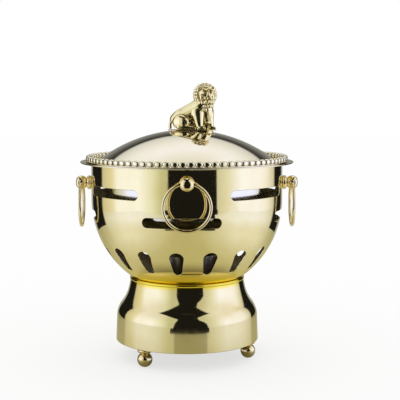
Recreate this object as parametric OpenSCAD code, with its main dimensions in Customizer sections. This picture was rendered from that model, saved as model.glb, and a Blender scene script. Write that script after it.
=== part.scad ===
// Tabletop stove pot: pierced bowl on an ogee base, hanging pot, domed lid with a lion finial.
// Millimetres, +Z up, origin on the table under the middle of the object, front towards -Y.

/* [Bowl] */
// Outer radius of the bowl's straight wall and of its half-sphere bottom
bowl_r = 83; // [80:0.5:86]
// Sheet thickness of the bowl
bowl_wall = 1.0; // [0.8:0.1:1.4]
// Height of the straight wall above the half-sphere bottom
bowl_straight = 31.9; // [28:0.1:34]
// Outer radius of the bowl's flat floor
bowl_floor_r = 34; // [31:0.5:36]

/* [Vents] */
// Height of a long slot
slot_h = 8.2; // [5:0.2:9]
// Half of the angle that a long slot spans
slot_half_angle = 23; // [12:0.5:26]
// Depth of the upper slots' middle below the bowl's top edge
upper_slot_drop = 22.2; // [19:0.2:24]
// Depth of the lower slots' middle below the bowl's top edge
lower_slot_drop = 44; // [41:0.2:48]
// Angle between a knob and the upper slot next to it
upper_slot_offset = 50; // [48:0.5:52]
// Turn of the upper slots about the axis
upper_slot_turn = -1.7; // [-4:0.1:4]
// Turn of the lower slots about the axis
lower_slot_turn = -3.2; // [-6:0.1:6]
// Number of petal slots round the bottom
petal_count = 16; // [8:1:18]
// Turn of the petal slots about the axis
petal_turn = -7; // [-11:0.5:11]
// Angle below the horizontal of a petal's middle, seen from the half-sphere's centre
petal_dip = 35.2; // [33:0.2:37]
// Length of a petal slot
petal_len = 24.5; // [18:0.5:27]
// Width of a petal's round top
petal_top_w = 11.7; // [8:0.1:13]
// Width of a petal's round foot
petal_foot_w = 7; // [4:0.1:8]

/* [Base] */
// Outer radius of the base at its lower edge
base_r = 62.5; // [60:0.5:66]
// Sheet thickness of the base
base_wall = 1.0; // [0.8:0.1:1.4]
// Height of the base from its lower edge to the middle of its lip
base_h = 54.3; // [52:0.1:58]
// Height of the straight lower band
band_h = 21.3; // [16:0.1:23]
// Inward lean of the band
band_lean = 1.6; // [0:0.1:3]
// Radius of the shoulder above the band
shoulder_r = 19.5; // [16:0.1:21]
// Steepest lean of the base's side, where shoulder and cove meet
flare_angle = 44.3; // [40:0.1:48]
// Lean of the neck
neck_taper = 12; // [8:0.5:14]
// How far the neck at its lip lies inside the lower band
neck_inset = 13.2; // [12:0.1:14]
// Radius of the rolled lip's section
lip_r = 1.4; // [1:0.1:1.8]
// Thickness of the seat plate and of the base ring
plate_t = 1.2; // [1:0.1:2]
// Depth of the seat plate's turned-down edge
plate_edge = 6; // [3:0.5:8]
// Width of the base ring from the lower band inwards
base_ring_w = 18.5; // [16:0.5:22]

/* [Feet] */
// Diameter of a foot's ball
foot_ball_d = 12.9; // [11:0.1:14]
// Diameter of a foot's collar
foot_collar_d = 12.6; // [11:0.1:14]
// Height of a foot's collar
foot_collar_h = 3.8; // [3:0.1:4.4]
// How far the flat under a foot's ball is cut into it
foot_flat = 0.25; // [0.15:0.05:0.6]
// How far a foot's ball is let into its collar
foot_sink = 0.45; // [0.2:0.05:0.8]
// How far the feet's middles lie inside the lower band
foot_inset = 8.2; // [7.5:0.1:9.5]
// Direction of the first foot about the axis
foot_turn = 228.6; // [220:0.2:240]

/* [Pot] */
// Gap between the pot's wall and the bowl's wall
pot_gap = 11; // [9:0.1:13]
// Sheet thickness of the pot
pot_wall = 0.8; // [0.6:0.1:1.2]
// Depth of the pot below its flange
pot_depth = 63.2; // [56:0.2:66]
// Radius of the pot's lower corner
pot_corner_r = 23; // [16:0.5:28]
// How far the pot's wide flange stands out over the bowl's wall
flange_over = 9.5; // [8:0.1:13]
// Thickness of the flange
flange_t = 1.0; // [0.8:0.1:1.4]

/* [Lid] */
// Height of the dome's top above the brim's upper face
dome_rise = 26.1; // [24:0.1:28]
// Sheet thickness of the lid
lid_wall = 0.8; // [0.6:0.1:1.2]
// How far the brim's edge lies inside the flange's edge
brim_inset = 4.3; // [2:0.1:5]
// Width of the brim from its edge to the foot of the dome
brim_w = 11.4; // [11:0.1:12.5]
// Radius of the cove where dome and brim meet
lid_cove_r = 5; // [2:0.5:6]
// Depth of the locating ring under the brim
locating_h = 7; // [4:0.5:10]
// Gap between the locating ring and the pot's wall
locating_gap = 0.8; // [0.4:0.1:1.6]
// Diameter of a ball in the border
bead_d = 5.8; // [4.6:0.1:6.1]
// Gap between the border's balls, before their number is rounded
bead_gap = 0.73; // [0.5:0.01:3]
// How far the middles of the border's balls lie inside the brim's edge
bead_inset = 3; // [3:0.1:3.4]
// How far a ball's flat underside is cut into it
bead_flat = 0.7; // [0.3:0.1:1]

/* [Ring pulls] */
// Diameter of a knob's ball
ball_d = 11.7; // [10.8:0.1:12.4]
// How far the flat that meets the collar is cut into the ball
ball_seat = 1.05; // [0.6:0.05:1.4]
// Diameter of the collar behind the ball
collar_d = 12.1; // [10.5:0.1:13]
// Length of the collar
collar_len = 4.0; // [3.4:0.1:4.6]
// Diameter of the hole through the ball
ring_hole_d = 4.2; // [4:0.1:4.8]
// Diameter of the ring's wire
ring_wire_d = 2.6; // [2:0.1:2.7]
// Radius of the ring at the middle of its wire
ring_mean_r = 19; // [17:0.5:20]
// Depth of the front and back knobs below the bowl's top edge
front_knob_drop = 11.2; // [9:0.2:12]
// Depth of the side knobs below the bowl's top edge
side_knob_drop = 17.7; // [16:0.2:20]

/* [Finial] */
// Length of the plinth along X
plinth_len = 42; // [40:0.5:46]
// Width of the plinth
plinth_w = 18; // [17:0.5:22]
// Distance of the plinth's middle from the axis, towards +X
plinth_shift = 4.5; // [4:0.1:5]
// Height of the plinth's upper face above the dome's top
plinth_rise = 0.3; // [0.2:0.1:1]
// Height of the boss that takes the finial's screw
boss_h = 5.5; // [4:0.5:6]
// Radius of that boss
boss_r = 3.6; // [3.2:0.1:4]

/* [Burner] */
// Outer radius of the burner's cup
cup_r = 26; // [22:0.5:28]
// Height of the burner's cup
cup_h = 26; // [20:0.5:28]
// Sheet thickness of the burner
cup_wall = 0.8; // [0.6:0.1:1.2]
// Height of the cup's floor above its lower edge
cup_floor_h = 5.2; // [5:0.1:7]
// Width of the cup's turned-out brim
cup_brim = 2; // [1.4:0.1:3]
// Radius of the mouth in the burner's cover
mouth_r = 13; // [10:0.5:14]
// Number of small flame ports round the mouth
port_count = 12; // [6:1:16]
// Radius of a flame port
port_r = 1.6; // [1:0.1:2]
// Distance of the flame ports from the axis
port_circle_r = 19; // [17.5:0.1:19.5]
// Depth of the cover's locating edge
cover_edge = 4; // [2:0.5:6]
// Gap between that edge and the cup's wall
cover_gap = 0.3; // [0.2:0.1:0.6]

/* [Fasteners] */
// Diameter of the studs and screws of feet, knobs and finial
stud_d = 4; // [3:0.5:4]
// Width across the corners of their nuts
nut_w = 8; // [7:0.1:8.4]
// Thickness of their nuts
nut_t = 2.6; // [2:0.1:2.8]
// Diameter of the bolt between bowl and base
bolt_d = 6; // [5:0.5:8]
// Width across the corners of that bolt's head and nut
bolt_head_w = 11; // [10:0.5:13]
// Thickness of that bolt's head
bolt_head_t = 2.8; // [2:0.1:3.4]
// Thickness of that bolt's nut
bolt_nut_t = 4.8; // [4:0.1:6]
// Thickness of the washers
washer_t = 1.0; // [0.8:0.1:1.2]
// Radius by which a hole is wider than its screw
hole_gap = 0.2; // [0.1:0.05:0.4]
// Gap left between pieces that are set close
fit_gap = 0.1; // [0.05:0.01:0.15]

/* [Hidden] */
$fn = 96;
gold = "gold";
deep_gold = "goldenrod";
steel = "silver";
overshoot = 1;
cutter_reach = 15;
lion_fn = 18;
dome_fn = 480;

// Levels from the table up: feet, lip of the base, half-sphere tangent to that lip, top edge of the bowl
base_lift = foot_ball_d - foot_flat + foot_collar_h - foot_sink;
lip_z = base_lift + base_h;
neck_top_r = base_r - neck_inset;
bowl_centre_z = lip_z + sqrt(pow(bowl_r + lip_r + fit_gap, 2) - pow(neck_top_r - base_wall / 2, 2));
rim_z = bowl_centre_z + bowl_straight;

// Bowl: the floor under and inside, the levels of the knobs, the turn that a slot's round end takes up
bowl_floor_z = bowl_centre_z - sqrt(pow(bowl_r, 2) - pow(bowl_floor_r, 2));
bowl_inner_floor_z = bowl_floor_z + bowl_wall;
front_knob_z = rim_z - front_knob_drop;
side_knob_z = rim_z - side_knob_drop;
slot_end_angle = asin(slot_h / 2 / bowl_r);

// Base: the cove's radius that joins shoulder and neck smoothly, the seat plate, the feet's circle
band_top_z = base_lift + band_h;
band_top_r = base_r - band_h * tan(band_lean);
lean = [cos(band_lean), sin(band_lean)];
flare = [cos(flare_angle), sin(flare_angle)];
taper = [cos(neck_taper), sin(neck_taper)];
shoulder_c = [band_top_r, band_top_z] - shoulder_r * lean;
cove_start = shoulder_c + shoulder_r * flare;
cove_r = (cove_start * taper - [neck_top_r, lip_z] * taper) / (1 - flare * taper);
cove_c = cove_start + cove_r * flare;
neck_start = cove_c - cove_r * taper;
base_ring_inner_r = base_r - base_ring_w;
foot_circle_r = base_r - foot_inset;
seat_r = neck_top_r + (lip_z - bowl_floor_z) * tan(neck_taper) - base_wall / taper[0] - fit_gap;

// Rim stack: pot and flange in the bowl, brim on the flange, balls and dome on the brim
pot_r = bowl_r - bowl_wall - pot_gap;
flange_r = bowl_r + flange_over;
brim_r = flange_r - brim_inset;
bead_circle_r = brim_r - bead_inset;
bead_count = round(2 * PI * bead_circle_r / (bead_d + bead_gap));
flange_top_z = rim_z + flange_t;
brim_top_z = flange_top_z + lid_wall;
apex_z = brim_top_z + dome_rise;
dome_foot_r = brim_r - brim_w;
dome_r = (pow(dome_foot_r, 2) + pow(dome_rise, 2)) / (2 * dome_rise);
dome_c_z = apex_z - dome_r;
lid_cove_c = [sqrt(pow(dome_r + lid_cove_r, 2) - pow(brim_top_z + lid_cove_r - dome_c_z, 2)), brim_top_z + lid_cove_r];
locating_r = pot_r - pot_wall - locating_gap;
pot_bottom_z = rim_z - pot_depth;

// Ring pulls: the ring's top lies a little above the ball's middle, so that it turns freely in its hole
collar_end_r = bowl_r + collar_len;
ball_centre_r = collar_end_r + ball_d / 2 - ball_seat;
hole_sag = ring_mean_r - sqrt(pow(ring_mean_r, 2) - pow(ball_d / 2, 2));
ring_top_rise = hole_sag / 2;
nut_seat_r = sqrt(pow(bowl_r - bowl_wall, 2) - pow(nut_w / 2, 2));

// Finial
plinth_top_z = apex_z + plinth_rise;
washer_sag = 0.15;
finial_washer_top = apex_z - lid_wall - washer_sag;

// Lion, as balls [x, y, z, radius] above the plinth, joined in pairs
haunch = [-8.5, 1, 7.2, 6.6];
shoulder = [11.5, -0.5, 15, 6.6];
mane = [15.7, 0.3, 30.4, 10.1];
lion_pairs = [
    [haunch, shoulder],
    [shoulder, [15.6, 0, 27, 8.4]],
    [mane, mane],
    [[16.6, -4.6, 29, 6.4], [18.2, -8.6, 26.6, 3.6]],
    [[14.2, -8.2, 31.8, 1.9], [20.6, -7.6, 31.8, 1.9]],
    [[18, -8, 23.5, 2.6], [17, -6, 19.5, 2.4]],
    [shoulder, [17, -2.5, 11.5, 5.6]],
    [[13, -4.6, 12, 3.8], [13.2, -5.4, 2.4, 2.4]],
    [[13.2, -5.4, 1.6, 2.6], [15.8, -6.2, 1.4, 2.3]],
    [[20.2, 0.8, 12, 3.6], [20.6, 1.2, 2.4, 2.4]],
    [[20.6, 1.2, 1.6, 2.5], [22.9, 0.6, 1.4, 2.2]],
    [[-7, -4.6, 5.2, 5], [1.5, -5.8, 6.4, 3.2]],
    [[1.5, -5.8, 6, 3], [7.4, -6.6, 1.4, 2.1]],
    [[-7, 5.2, 5.2, 5], [1.5, 5.8, 6.4, 3.2]],
    [[1.5, 5.8, 6, 3], [7.4, 6.6, 1.4, 2.1]],
    [[-9.6, 0.6, 2, 5.4], haunch],
    [[-13.6, 2, 9, 1.7], [-14.4, 1.6, 1.4, 1.7]],
];

// Turns its children from the front to another side; turn counts to the right, seen from above the front
module to_side(turn) {
    rotate([0, 0, turn]) children();
}

// A flat ring or disc
module disc(r, h, bore_r = 0) {
    difference() {
        cylinder(r = r, h = h);
        if (bore_r > 0) translate([0, 0, -overshoot]) cylinder(r = bore_r, h = h + 2 * overshoot);
    }
}

// A six-sided nut or head standing on z = 0
module hexagon(w, h, bore_r = 0) {
    difference() {
        cylinder(d = w, h = h, $fn = 6);
        if (bore_r > 0) translate([0, 0, -overshoot]) cylinder(r = bore_r, h = h + 2 * overshoot);
    }
}

// Section of a collar of radius r and height h with a half-round edge
module barrel_section(r, h) {
    square([r - h / 2, h]);
    translate([r - h / 2, h / 2]) circle(r = h / 2);
}

// Lays +Z along the outward direction of the front side, from the axis at height z
module outward(z) {
    translate([0, 0, z]) rotate([90, 0, 0]) children();
}

// Filled half section of the bowl, drawn in by inset and open upwards where over is set
module bowl_section(inset, over) {
    intersection() {
        union() {
            translate([0, bowl_centre_z]) circle(r = bowl_r - inset);
            translate([0, bowl_centre_z]) square([bowl_r - inset, bowl_straight + over]);
        }
        translate([0, bowl_floor_z + inset]) square([bowl_r, rim_z - bowl_floor_z - inset + over]);
    }
}

// A long slot through the bowl's wall, with round ends
module long_slot(turn, z) {
    span = slot_half_angle - slot_end_angle;
    to_side(turn) {
        rotate([0, 0, -90 - span]) rotate_extrude(angle = 2 * span)
            translate([bowl_r - cutter_reach, z - slot_h / 2]) square([2 * cutter_reach, slot_h]);
        for (end = [-1, 1]) to_side(end * span) outward(z)
            translate([0, 0, bowl_r - cutter_reach]) cylinder(d = slot_h, h = 2 * cutter_reach);
    }
}

// Outline of a petal slot: a wide and a narrow circle and the tapered stretch between their middles
module petal_outline() {
    top = [0, petal_len / 2 - petal_top_w / 2];
    foot = [0, -petal_len / 2 + petal_foot_w / 2];
    top_side = [petal_top_w / 2, 0];
    foot_side = [petal_foot_w / 2, 0];
    translate(top) circle(d = petal_top_w);
    translate(foot) circle(d = petal_foot_w);
    polygon([top + top_side, foot + foot_side, foot - foot_side, top - top_side]);
}

module petal_slot(turn) {
    to_side(turn) translate([0, 0, bowl_centre_z]) rotate([petal_dip, 0, 0]) outward(0)
        translate([0, 0, bowl_r - cutter_reach]) linear_extrude(2 * cutter_reach) petal_outline();
}

module stove_bowl() {
    color(gold) difference() {
        rotate_extrude() difference() {
            bowl_section(0, 0);
            bowl_section(bowl_wall, overshoot);
        }
        for (quarter = [0:90:270]) {
            long_slot(quarter + lower_slot_turn, rim_z - lower_slot_drop);
        }
        for (half = [0, 180], sign = [-1, 1]) {
            long_slot(half + sign * upper_slot_offset + upper_slot_turn, rim_z - upper_slot_drop);
        }
        for (i = [0:petal_count - 1]) petal_slot(petal_turn + i * 360 / petal_count);
        for (quarter = [0:90:270]) to_side(quarter) outward(quarter % 180 == 0 ? front_knob_z : side_knob_z)
            translate([0, 0, bowl_r - cutter_reach]) cylinder(r = stud_d / 2 + hole_gap, h = 2 * cutter_reach);
        translate([0, 0, bowl_floor_z - overshoot]) cylinder(r = bolt_d / 2 + hole_gap, h = cutter_reach);
    }
}

// Filled half section of the base, drawn in by inset and lengthened by over at both ends
module base_section(inset, over) {
    neck_top = [neck_top_r, lip_z] + over * [-taper[1], taper[0]];
    difference() {
        union() {
            polygon([
                [0, base_lift - over], [base_r + over * tan(band_lean) - inset / lean[0], base_lift - over],
                [band_top_r, band_top_z] - inset * lean, cove_start - inset * flare, neck_start - inset * taper, neck_top - inset * taper,
                [0, neck_top[1] - inset * taper[1]],
            ]);
            intersection() {
                translate(shoulder_c) circle(r = shoulder_r - inset);
                translate([0, base_lift]) square([base_r, lip_z - base_lift]);
            }
        }
        translate(cove_c) circle(r = cove_r + inset);
    }
}

module base_skirt() {
    color(gold) rotate_extrude() {
        difference() {
            base_section(0, 0);
            base_section(base_wall, 2 * overshoot);
        }
        translate([neck_top_r - base_wall / 2, lip_z]) circle(r = lip_r);
    }
}

module base_ring() {
    color(steel) difference() {
        translate([0, 0, base_lift]) disc(base_r - base_wall - fit_gap, plate_t, base_ring_inner_r);
        for (i = [0:2]) at_foot(i) translate([0, 0, base_lift - overshoot])
            cylinder(r = stud_d / 2 + hole_gap, h = plate_t + 2 * overshoot);
    }
}

module seat_plate() {
    color(steel) translate([0, 0, bowl_floor_z - plate_t]) {
        disc(seat_r, plate_t, bolt_d / 2 + hole_gap);
        translate([0, 0, -plate_edge]) disc(seat_r, plate_edge, seat_r - plate_t);
    }
}

module at_foot(i) {
    rotate([0, 0, foot_turn + 120 * i]) translate([foot_circle_r, 0, 0]) children();
}

// Ball, collar and stud turned in one piece, with a small flat to stand on
module foot(i) {
    ball_r = foot_ball_d / 2;
    color(deep_gold) at_foot(i) rotate_extrude() intersection() {
        union() {
            translate([0, ball_r - foot_flat]) circle(r = ball_r);
            translate([0, base_lift - foot_collar_h]) barrel_section(foot_collar_d / 2, foot_collar_h);
            translate([0, base_lift]) square([stud_d / 2, plate_t + nut_t + overshoot]);
        }
        square([foot_collar_d + foot_ball_d, rim_z]);
    }
}

module foot_left() { foot(0); }
module foot_right() { foot(1); }
module foot_back() { foot(2); }

module foot_nuts() {
    color(steel) for (i = [0:2]) at_foot(i) translate([0, 0, base_lift + plate_t])
        hexagon(nut_w, nut_t, stud_d / 2 + fit_gap);
}

module centre_bolt() {
    color(steel) translate([0, 0, bowl_inner_floor_z + washer_t]) {
        hexagon(bolt_head_w, bolt_head_t);
        mirror([0, 0, 1]) cylinder(d = bolt_d, h = washer_t + bowl_wall + plate_t + bolt_nut_t + overshoot);
    }
}

module centre_washer() {
    color(steel) translate([0, 0, bowl_inner_floor_z])
        disc(bolt_head_w / 2 + overshoot, washer_t, bolt_d / 2 + hole_gap);
}

module centre_nut() {
    color(steel) translate([0, 0, bowl_floor_z - plate_t - bolt_nut_t])
        hexagon(bolt_head_w, bolt_nut_t, bolt_d / 2 + fit_gap);
}

// Ball with a flat against its collar, a stud through the wall and a hole for the ring
module knob(turn, z) {
    color(deep_gold) to_side(turn) difference() {
        outward(z) {
            intersection() {
                translate([0, 0, ball_centre_r]) sphere(d = ball_d);
                translate([0, 0, collar_end_r]) cylinder(d = 2 * ball_d, h = 2 * ball_d);
            }
            translate([0, 0, nut_seat_r - nut_t - overshoot / 2])
                cylinder(d = stud_d, h = ball_centre_r - ball_d / 4 - nut_seat_r + nut_t);
        }
        translate([-ball_d, -ball_centre_r, z]) rotate([0, 90, 0]) cylinder(d = ring_hole_d, h = 2 * ball_d);
    }
}

module knob_front() { knob(0, front_knob_z); }
module knob_right() { knob(90, side_knob_z); }
module knob_back() { knob(180, front_knob_z); }
module knob_left() { knob(270, side_knob_z); }

module collar(turn, z) {
    color(deep_gold) to_side(turn) outward(z) translate([0, 0, bowl_r]) difference() {
        rotate_extrude() barrel_section(collar_d / 2, collar_len);
        translate([0, 0, -overshoot]) cylinder(r = stud_d / 2 + hole_gap, h = collar_len + 2 * overshoot);
    }
}

module collar_front() { collar(0, front_knob_z); }
module collar_right() { collar(90, side_knob_z); }
module collar_back() { collar(180, front_knob_z); }
module collar_left() { collar(270, side_knob_z); }

module knob_nuts() {
    color(steel) for (quarter = [0:90:270]) to_side(quarter)
        outward(quarter % 180 == 0 ? front_knob_z : side_knob_z)
            translate([0, 0, nut_seat_r - nut_t]) hexagon(nut_w, nut_t, stud_d / 2 + fit_gap);
}

module pull_ring(turn, z) {
    color(deep_gold) to_side(turn) translate([0, -ball_centre_r, z + ring_top_rise - ring_mean_r])
        rotate([90, 0, 0]) rotate_extrude() translate([ring_mean_r, 0]) circle(d = ring_wire_d);
}

module ring_front() { pull_ring(0, front_knob_z); }
module ring_right() { pull_ring(90, side_knob_z); }
module ring_back() { pull_ring(180, front_knob_z); }
module ring_left() { pull_ring(270, side_knob_z); }

// Filled half section of the pot, drawn in by inset
module pot_section(inset, over) {
    corner = [pot_r - pot_corner_r, pot_bottom_z + pot_corner_r];
    translate([0, pot_bottom_z + inset]) square([corner[0], flange_top_z - pot_bottom_z - inset + over]);
    translate([0, corner[1]]) square([pot_r - inset, flange_top_z - corner[1] + over]);
    intersection() {
        translate(corner) circle(r = pot_corner_r - inset);
        translate([0, pot_bottom_z]) square([pot_r, pot_corner_r]);
    }
}

module inner_pot() {
    color(steel) rotate_extrude() difference() {
        union() {
            pot_section(0, 0);
            translate([0, rim_z]) square([flange_r, flange_t]);
        }
        pot_section(pot_wall, overshoot);
    }
}

// Filled half section under the dome's curve, down to a level
module dome_section(r, level) {
    intersection() {
        translate([0, dome_c_z]) circle(r = r);
        translate([0, level]) square([flange_r, dome_r]);
    }
}

module lid_dome() {
    color(gold) difference() {
        rotate_extrude() difference() {
            union() {
                dome_section(dome_r, flange_top_z);
                translate([0, flange_top_z]) square([brim_r, lid_wall]);
                difference() {
                    translate([0, flange_top_z]) square([lid_cove_c[0], lid_wall + lid_cove_r / 2]);
                    translate(lid_cove_c) circle(r = lid_cove_r);
                }
            }
            dome_section(dome_r - lid_wall, flange_top_z - overshoot);
        }
        translate([0, 0, apex_z - cutter_reach]) cylinder(r = stud_d / 2 + hole_gap, h = 2 * cutter_reach);
    }
}

// Ring that hangs from the dome's underside into the pot
module lid_locating_ring() {
    color(steel) rotate_extrude() intersection() {
        translate([locating_r - lid_wall, flange_top_z - locating_h]) square([lid_wall, dome_rise]);
        translate([0, dome_c_z]) circle(r = dome_r - lid_wall - fit_gap / 2);
    }
}

module bead_border() {
    color(gold) for (i = [0:bead_count - 1]) rotate([0, 0, i * 360 / bead_count])
        translate([bead_circle_r, 0, brim_top_z]) intersection() {
            translate([0, 0, bead_d / 2 - bead_flat]) sphere(d = bead_d);
            cylinder(d = 2 * bead_d, h = 2 * bead_d);
        }
}

module plinth_outline() {
    straight = plinth_len - plinth_w;
    translate([plinth_shift, 0]) {
        square([straight, plinth_w], center = true);
        for (end = [-1, 1]) translate([end * straight / 2, 0]) circle(d = plinth_w);
    }
}

module lion_plinth() {
    color(deep_gold) difference() {
        union() {
            translate([0, 0, brim_top_z]) linear_extrude(plinth_top_z - brim_top_z) plinth_outline();
            translate([0, 0, plinth_top_z]) cylinder(r = boss_r, h = boss_h);
        }
        translate([0, 0, dome_c_z]) sphere(r = dome_r + fit_gap / 2, $fn = dome_fn);
        cylinder(r = stud_d / 2 + fit_gap / 2, h = plinth_top_z + boss_h - overshoot);
    }
}

module ball(b) {
    translate([b[0], b[1], b[2]]) sphere(r = b[3], $fn = lion_fn);
}

module lion_finial() {
    color(deep_gold) translate([0, 0, plinth_top_z]) difference() {
        for (pair = lion_pairs) hull() {
            ball(pair[0]);
            ball(pair[1]);
        }
        translate([0, 0, -plinth_len]) cylinder(r = plinth_len, h = plinth_len);
        cylinder(r = boss_r + hole_gap, h = boss_h + hole_gap, $fn = 32);
    }
}

module finial_screw() {
    color(steel) translate([0, 0, finial_washer_top - washer_t]) {
        cylinder(d = stud_d, h = plinth_top_z + boss_h - 2 * overshoot - finial_washer_top + washer_t);
        mirror([0, 0, 1]) cylinder(d = nut_w, h = nut_t);
    }
}

module finial_washer() {
    color(steel) translate([0, 0, finial_washer_top - washer_t])
        disc(nut_w / 2 + overshoot, washer_t, stud_d / 2 + hole_gap);
}

module burner_cup() {
    color(steel) translate([0, 0, bowl_inner_floor_z]) {
        disc(cup_r, cup_h, cup_r - cup_wall);
        translate([0, 0, cup_floor_h]) cylinder(r = cup_r - cup_wall / 2, h = cup_wall);
        translate([0, 0, cup_h - cup_wall]) disc(cup_r + cup_brim, cup_wall, cup_r - cup_wall);
    }
}

module burner_cover() {
    edge_r = cup_r - cup_wall - cover_gap;
    color(steel) translate([0, 0, bowl_inner_floor_z + cup_h]) {
        difference() {
            disc(cup_r + cup_brim, cup_wall, mouth_r);
            for (i = [0:port_count - 1]) rotate([0, 0, i * 360 / port_count])
                translate([port_circle_r, 0, -overshoot]) cylinder(r = port_r, h = cup_wall + 2 * overshoot);
        }
        translate([0, 0, -cover_edge]) disc(edge_r, cover_edge, edge_r - cup_wall);
    }
}

base_skirt();
base_ring();
seat_plate();
foot_left();
foot_right();
foot_back();
foot_nuts();
stove_bowl();
centre_bolt();
centre_washer();
centre_nut();
knob_front();
knob_right();
knob_back();
knob_left();
collar_front();
collar_right();
collar_back();
collar_left();
knob_nuts();
ring_front();
ring_right();
ring_back();
ring_left();
inner_pot();
lid_dome();
lid_locating_ring();
bead_border();
lion_plinth();
lion_finial();
finial_screw();
finial_washer();
burner_cup();
burner_cover();
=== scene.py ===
"""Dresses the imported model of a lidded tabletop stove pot: gold shell, silver pot, lion on the lid."""

import math

import bpy
import numpy as np
from bpy.props import FloatProperty, FloatVectorProperty, IntProperty, PointerProperty
from mathutils import Matrix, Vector
from mathutils.geometry import delaunay_2d_cdt


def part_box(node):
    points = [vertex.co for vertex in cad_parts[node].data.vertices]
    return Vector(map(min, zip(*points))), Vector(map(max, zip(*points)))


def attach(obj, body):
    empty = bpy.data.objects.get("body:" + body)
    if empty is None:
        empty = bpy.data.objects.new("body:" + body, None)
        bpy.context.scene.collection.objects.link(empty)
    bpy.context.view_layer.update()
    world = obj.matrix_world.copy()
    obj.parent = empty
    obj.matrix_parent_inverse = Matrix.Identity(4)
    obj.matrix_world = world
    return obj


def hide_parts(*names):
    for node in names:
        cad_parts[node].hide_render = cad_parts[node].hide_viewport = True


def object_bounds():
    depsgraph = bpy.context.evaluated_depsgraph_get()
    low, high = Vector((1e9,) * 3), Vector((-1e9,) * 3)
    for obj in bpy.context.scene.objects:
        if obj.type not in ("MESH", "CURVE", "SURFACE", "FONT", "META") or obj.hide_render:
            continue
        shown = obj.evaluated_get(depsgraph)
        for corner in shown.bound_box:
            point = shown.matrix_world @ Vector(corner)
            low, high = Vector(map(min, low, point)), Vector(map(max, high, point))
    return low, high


bl_info = {
    "name": "Tabletop stove pot",
    "version": (1, 0, 0),
    "blender": (4, 5, 0),
    "location": "View3D > Sidebar > Stove pot",
    "description": "Builds the polished pieces of a lidded tabletop stove pot on its packed frame",
    "category": "Object",
}

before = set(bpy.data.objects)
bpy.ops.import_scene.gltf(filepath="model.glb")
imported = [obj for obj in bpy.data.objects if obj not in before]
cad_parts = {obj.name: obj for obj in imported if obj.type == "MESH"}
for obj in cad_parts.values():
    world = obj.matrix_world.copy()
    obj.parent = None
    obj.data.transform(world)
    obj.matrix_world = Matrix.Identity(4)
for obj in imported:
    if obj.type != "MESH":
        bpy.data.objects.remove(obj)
CAD_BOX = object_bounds()
MM = 0.001
TAU = 2 * math.pi
SIDES = ("front", "right", "back", "left")
# Radius of a row that lies on the axis, gap of points that fall together and area of a flat triangle
ON_AXIS = 1e-6
SAME_POINT = 1e-7
NO_AREA = 1e-9
# Share of the grid's step that is kept clear round a hole, and of a limb's size that is left at its ends
HOLE_MARGIN = 0.6
LIMB_END = 0.02


def top_of(node):
    """Highest level of a node at rest, in millimetres."""
    return round(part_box(node)[1].z / MM, 3)


def foot_of(node):
    """Lowest level of a node at rest, in millimetres."""
    return round(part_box(node)[0].z / MM, 3)


def reach_of(node):
    """Furthest reach of a node along +X, in millimetres."""
    return round(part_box(node)[1].x / MM, 3)


def middle_of(node):
    """Middle of a node's box at rest, in millimetres."""
    return np.array([(low + high) / 2 / MM for low, high in zip(*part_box(node))])


def length(label, text, mm):
    """A size that a user may change, written in millimetres and kept in metres."""
    return FloatProperty(name=label, description=text, default=mm * MM, min=0.0, precision=5, unit="LENGTH")


def angle(label, text, degrees):
    """A turn or lean that a user may change, written in degrees and kept in radians."""
    return FloatProperty(name=label, description=text, default=math.radians(degrees), subtype="ANGLE")


def tint(label, text, rgb):
    """A metal's colour, as linear red, green and blue."""
    return FloatVectorProperty(name=label, description=text, default=rgb, min=0.0, max=1.0, subtype="COLOR")


def share(label, text, value):
    """A plain number from 0 to 1."""
    return FloatProperty(name=label, description=text, default=value, min=0.0, max=1.0, subtype="FACTOR")


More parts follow.
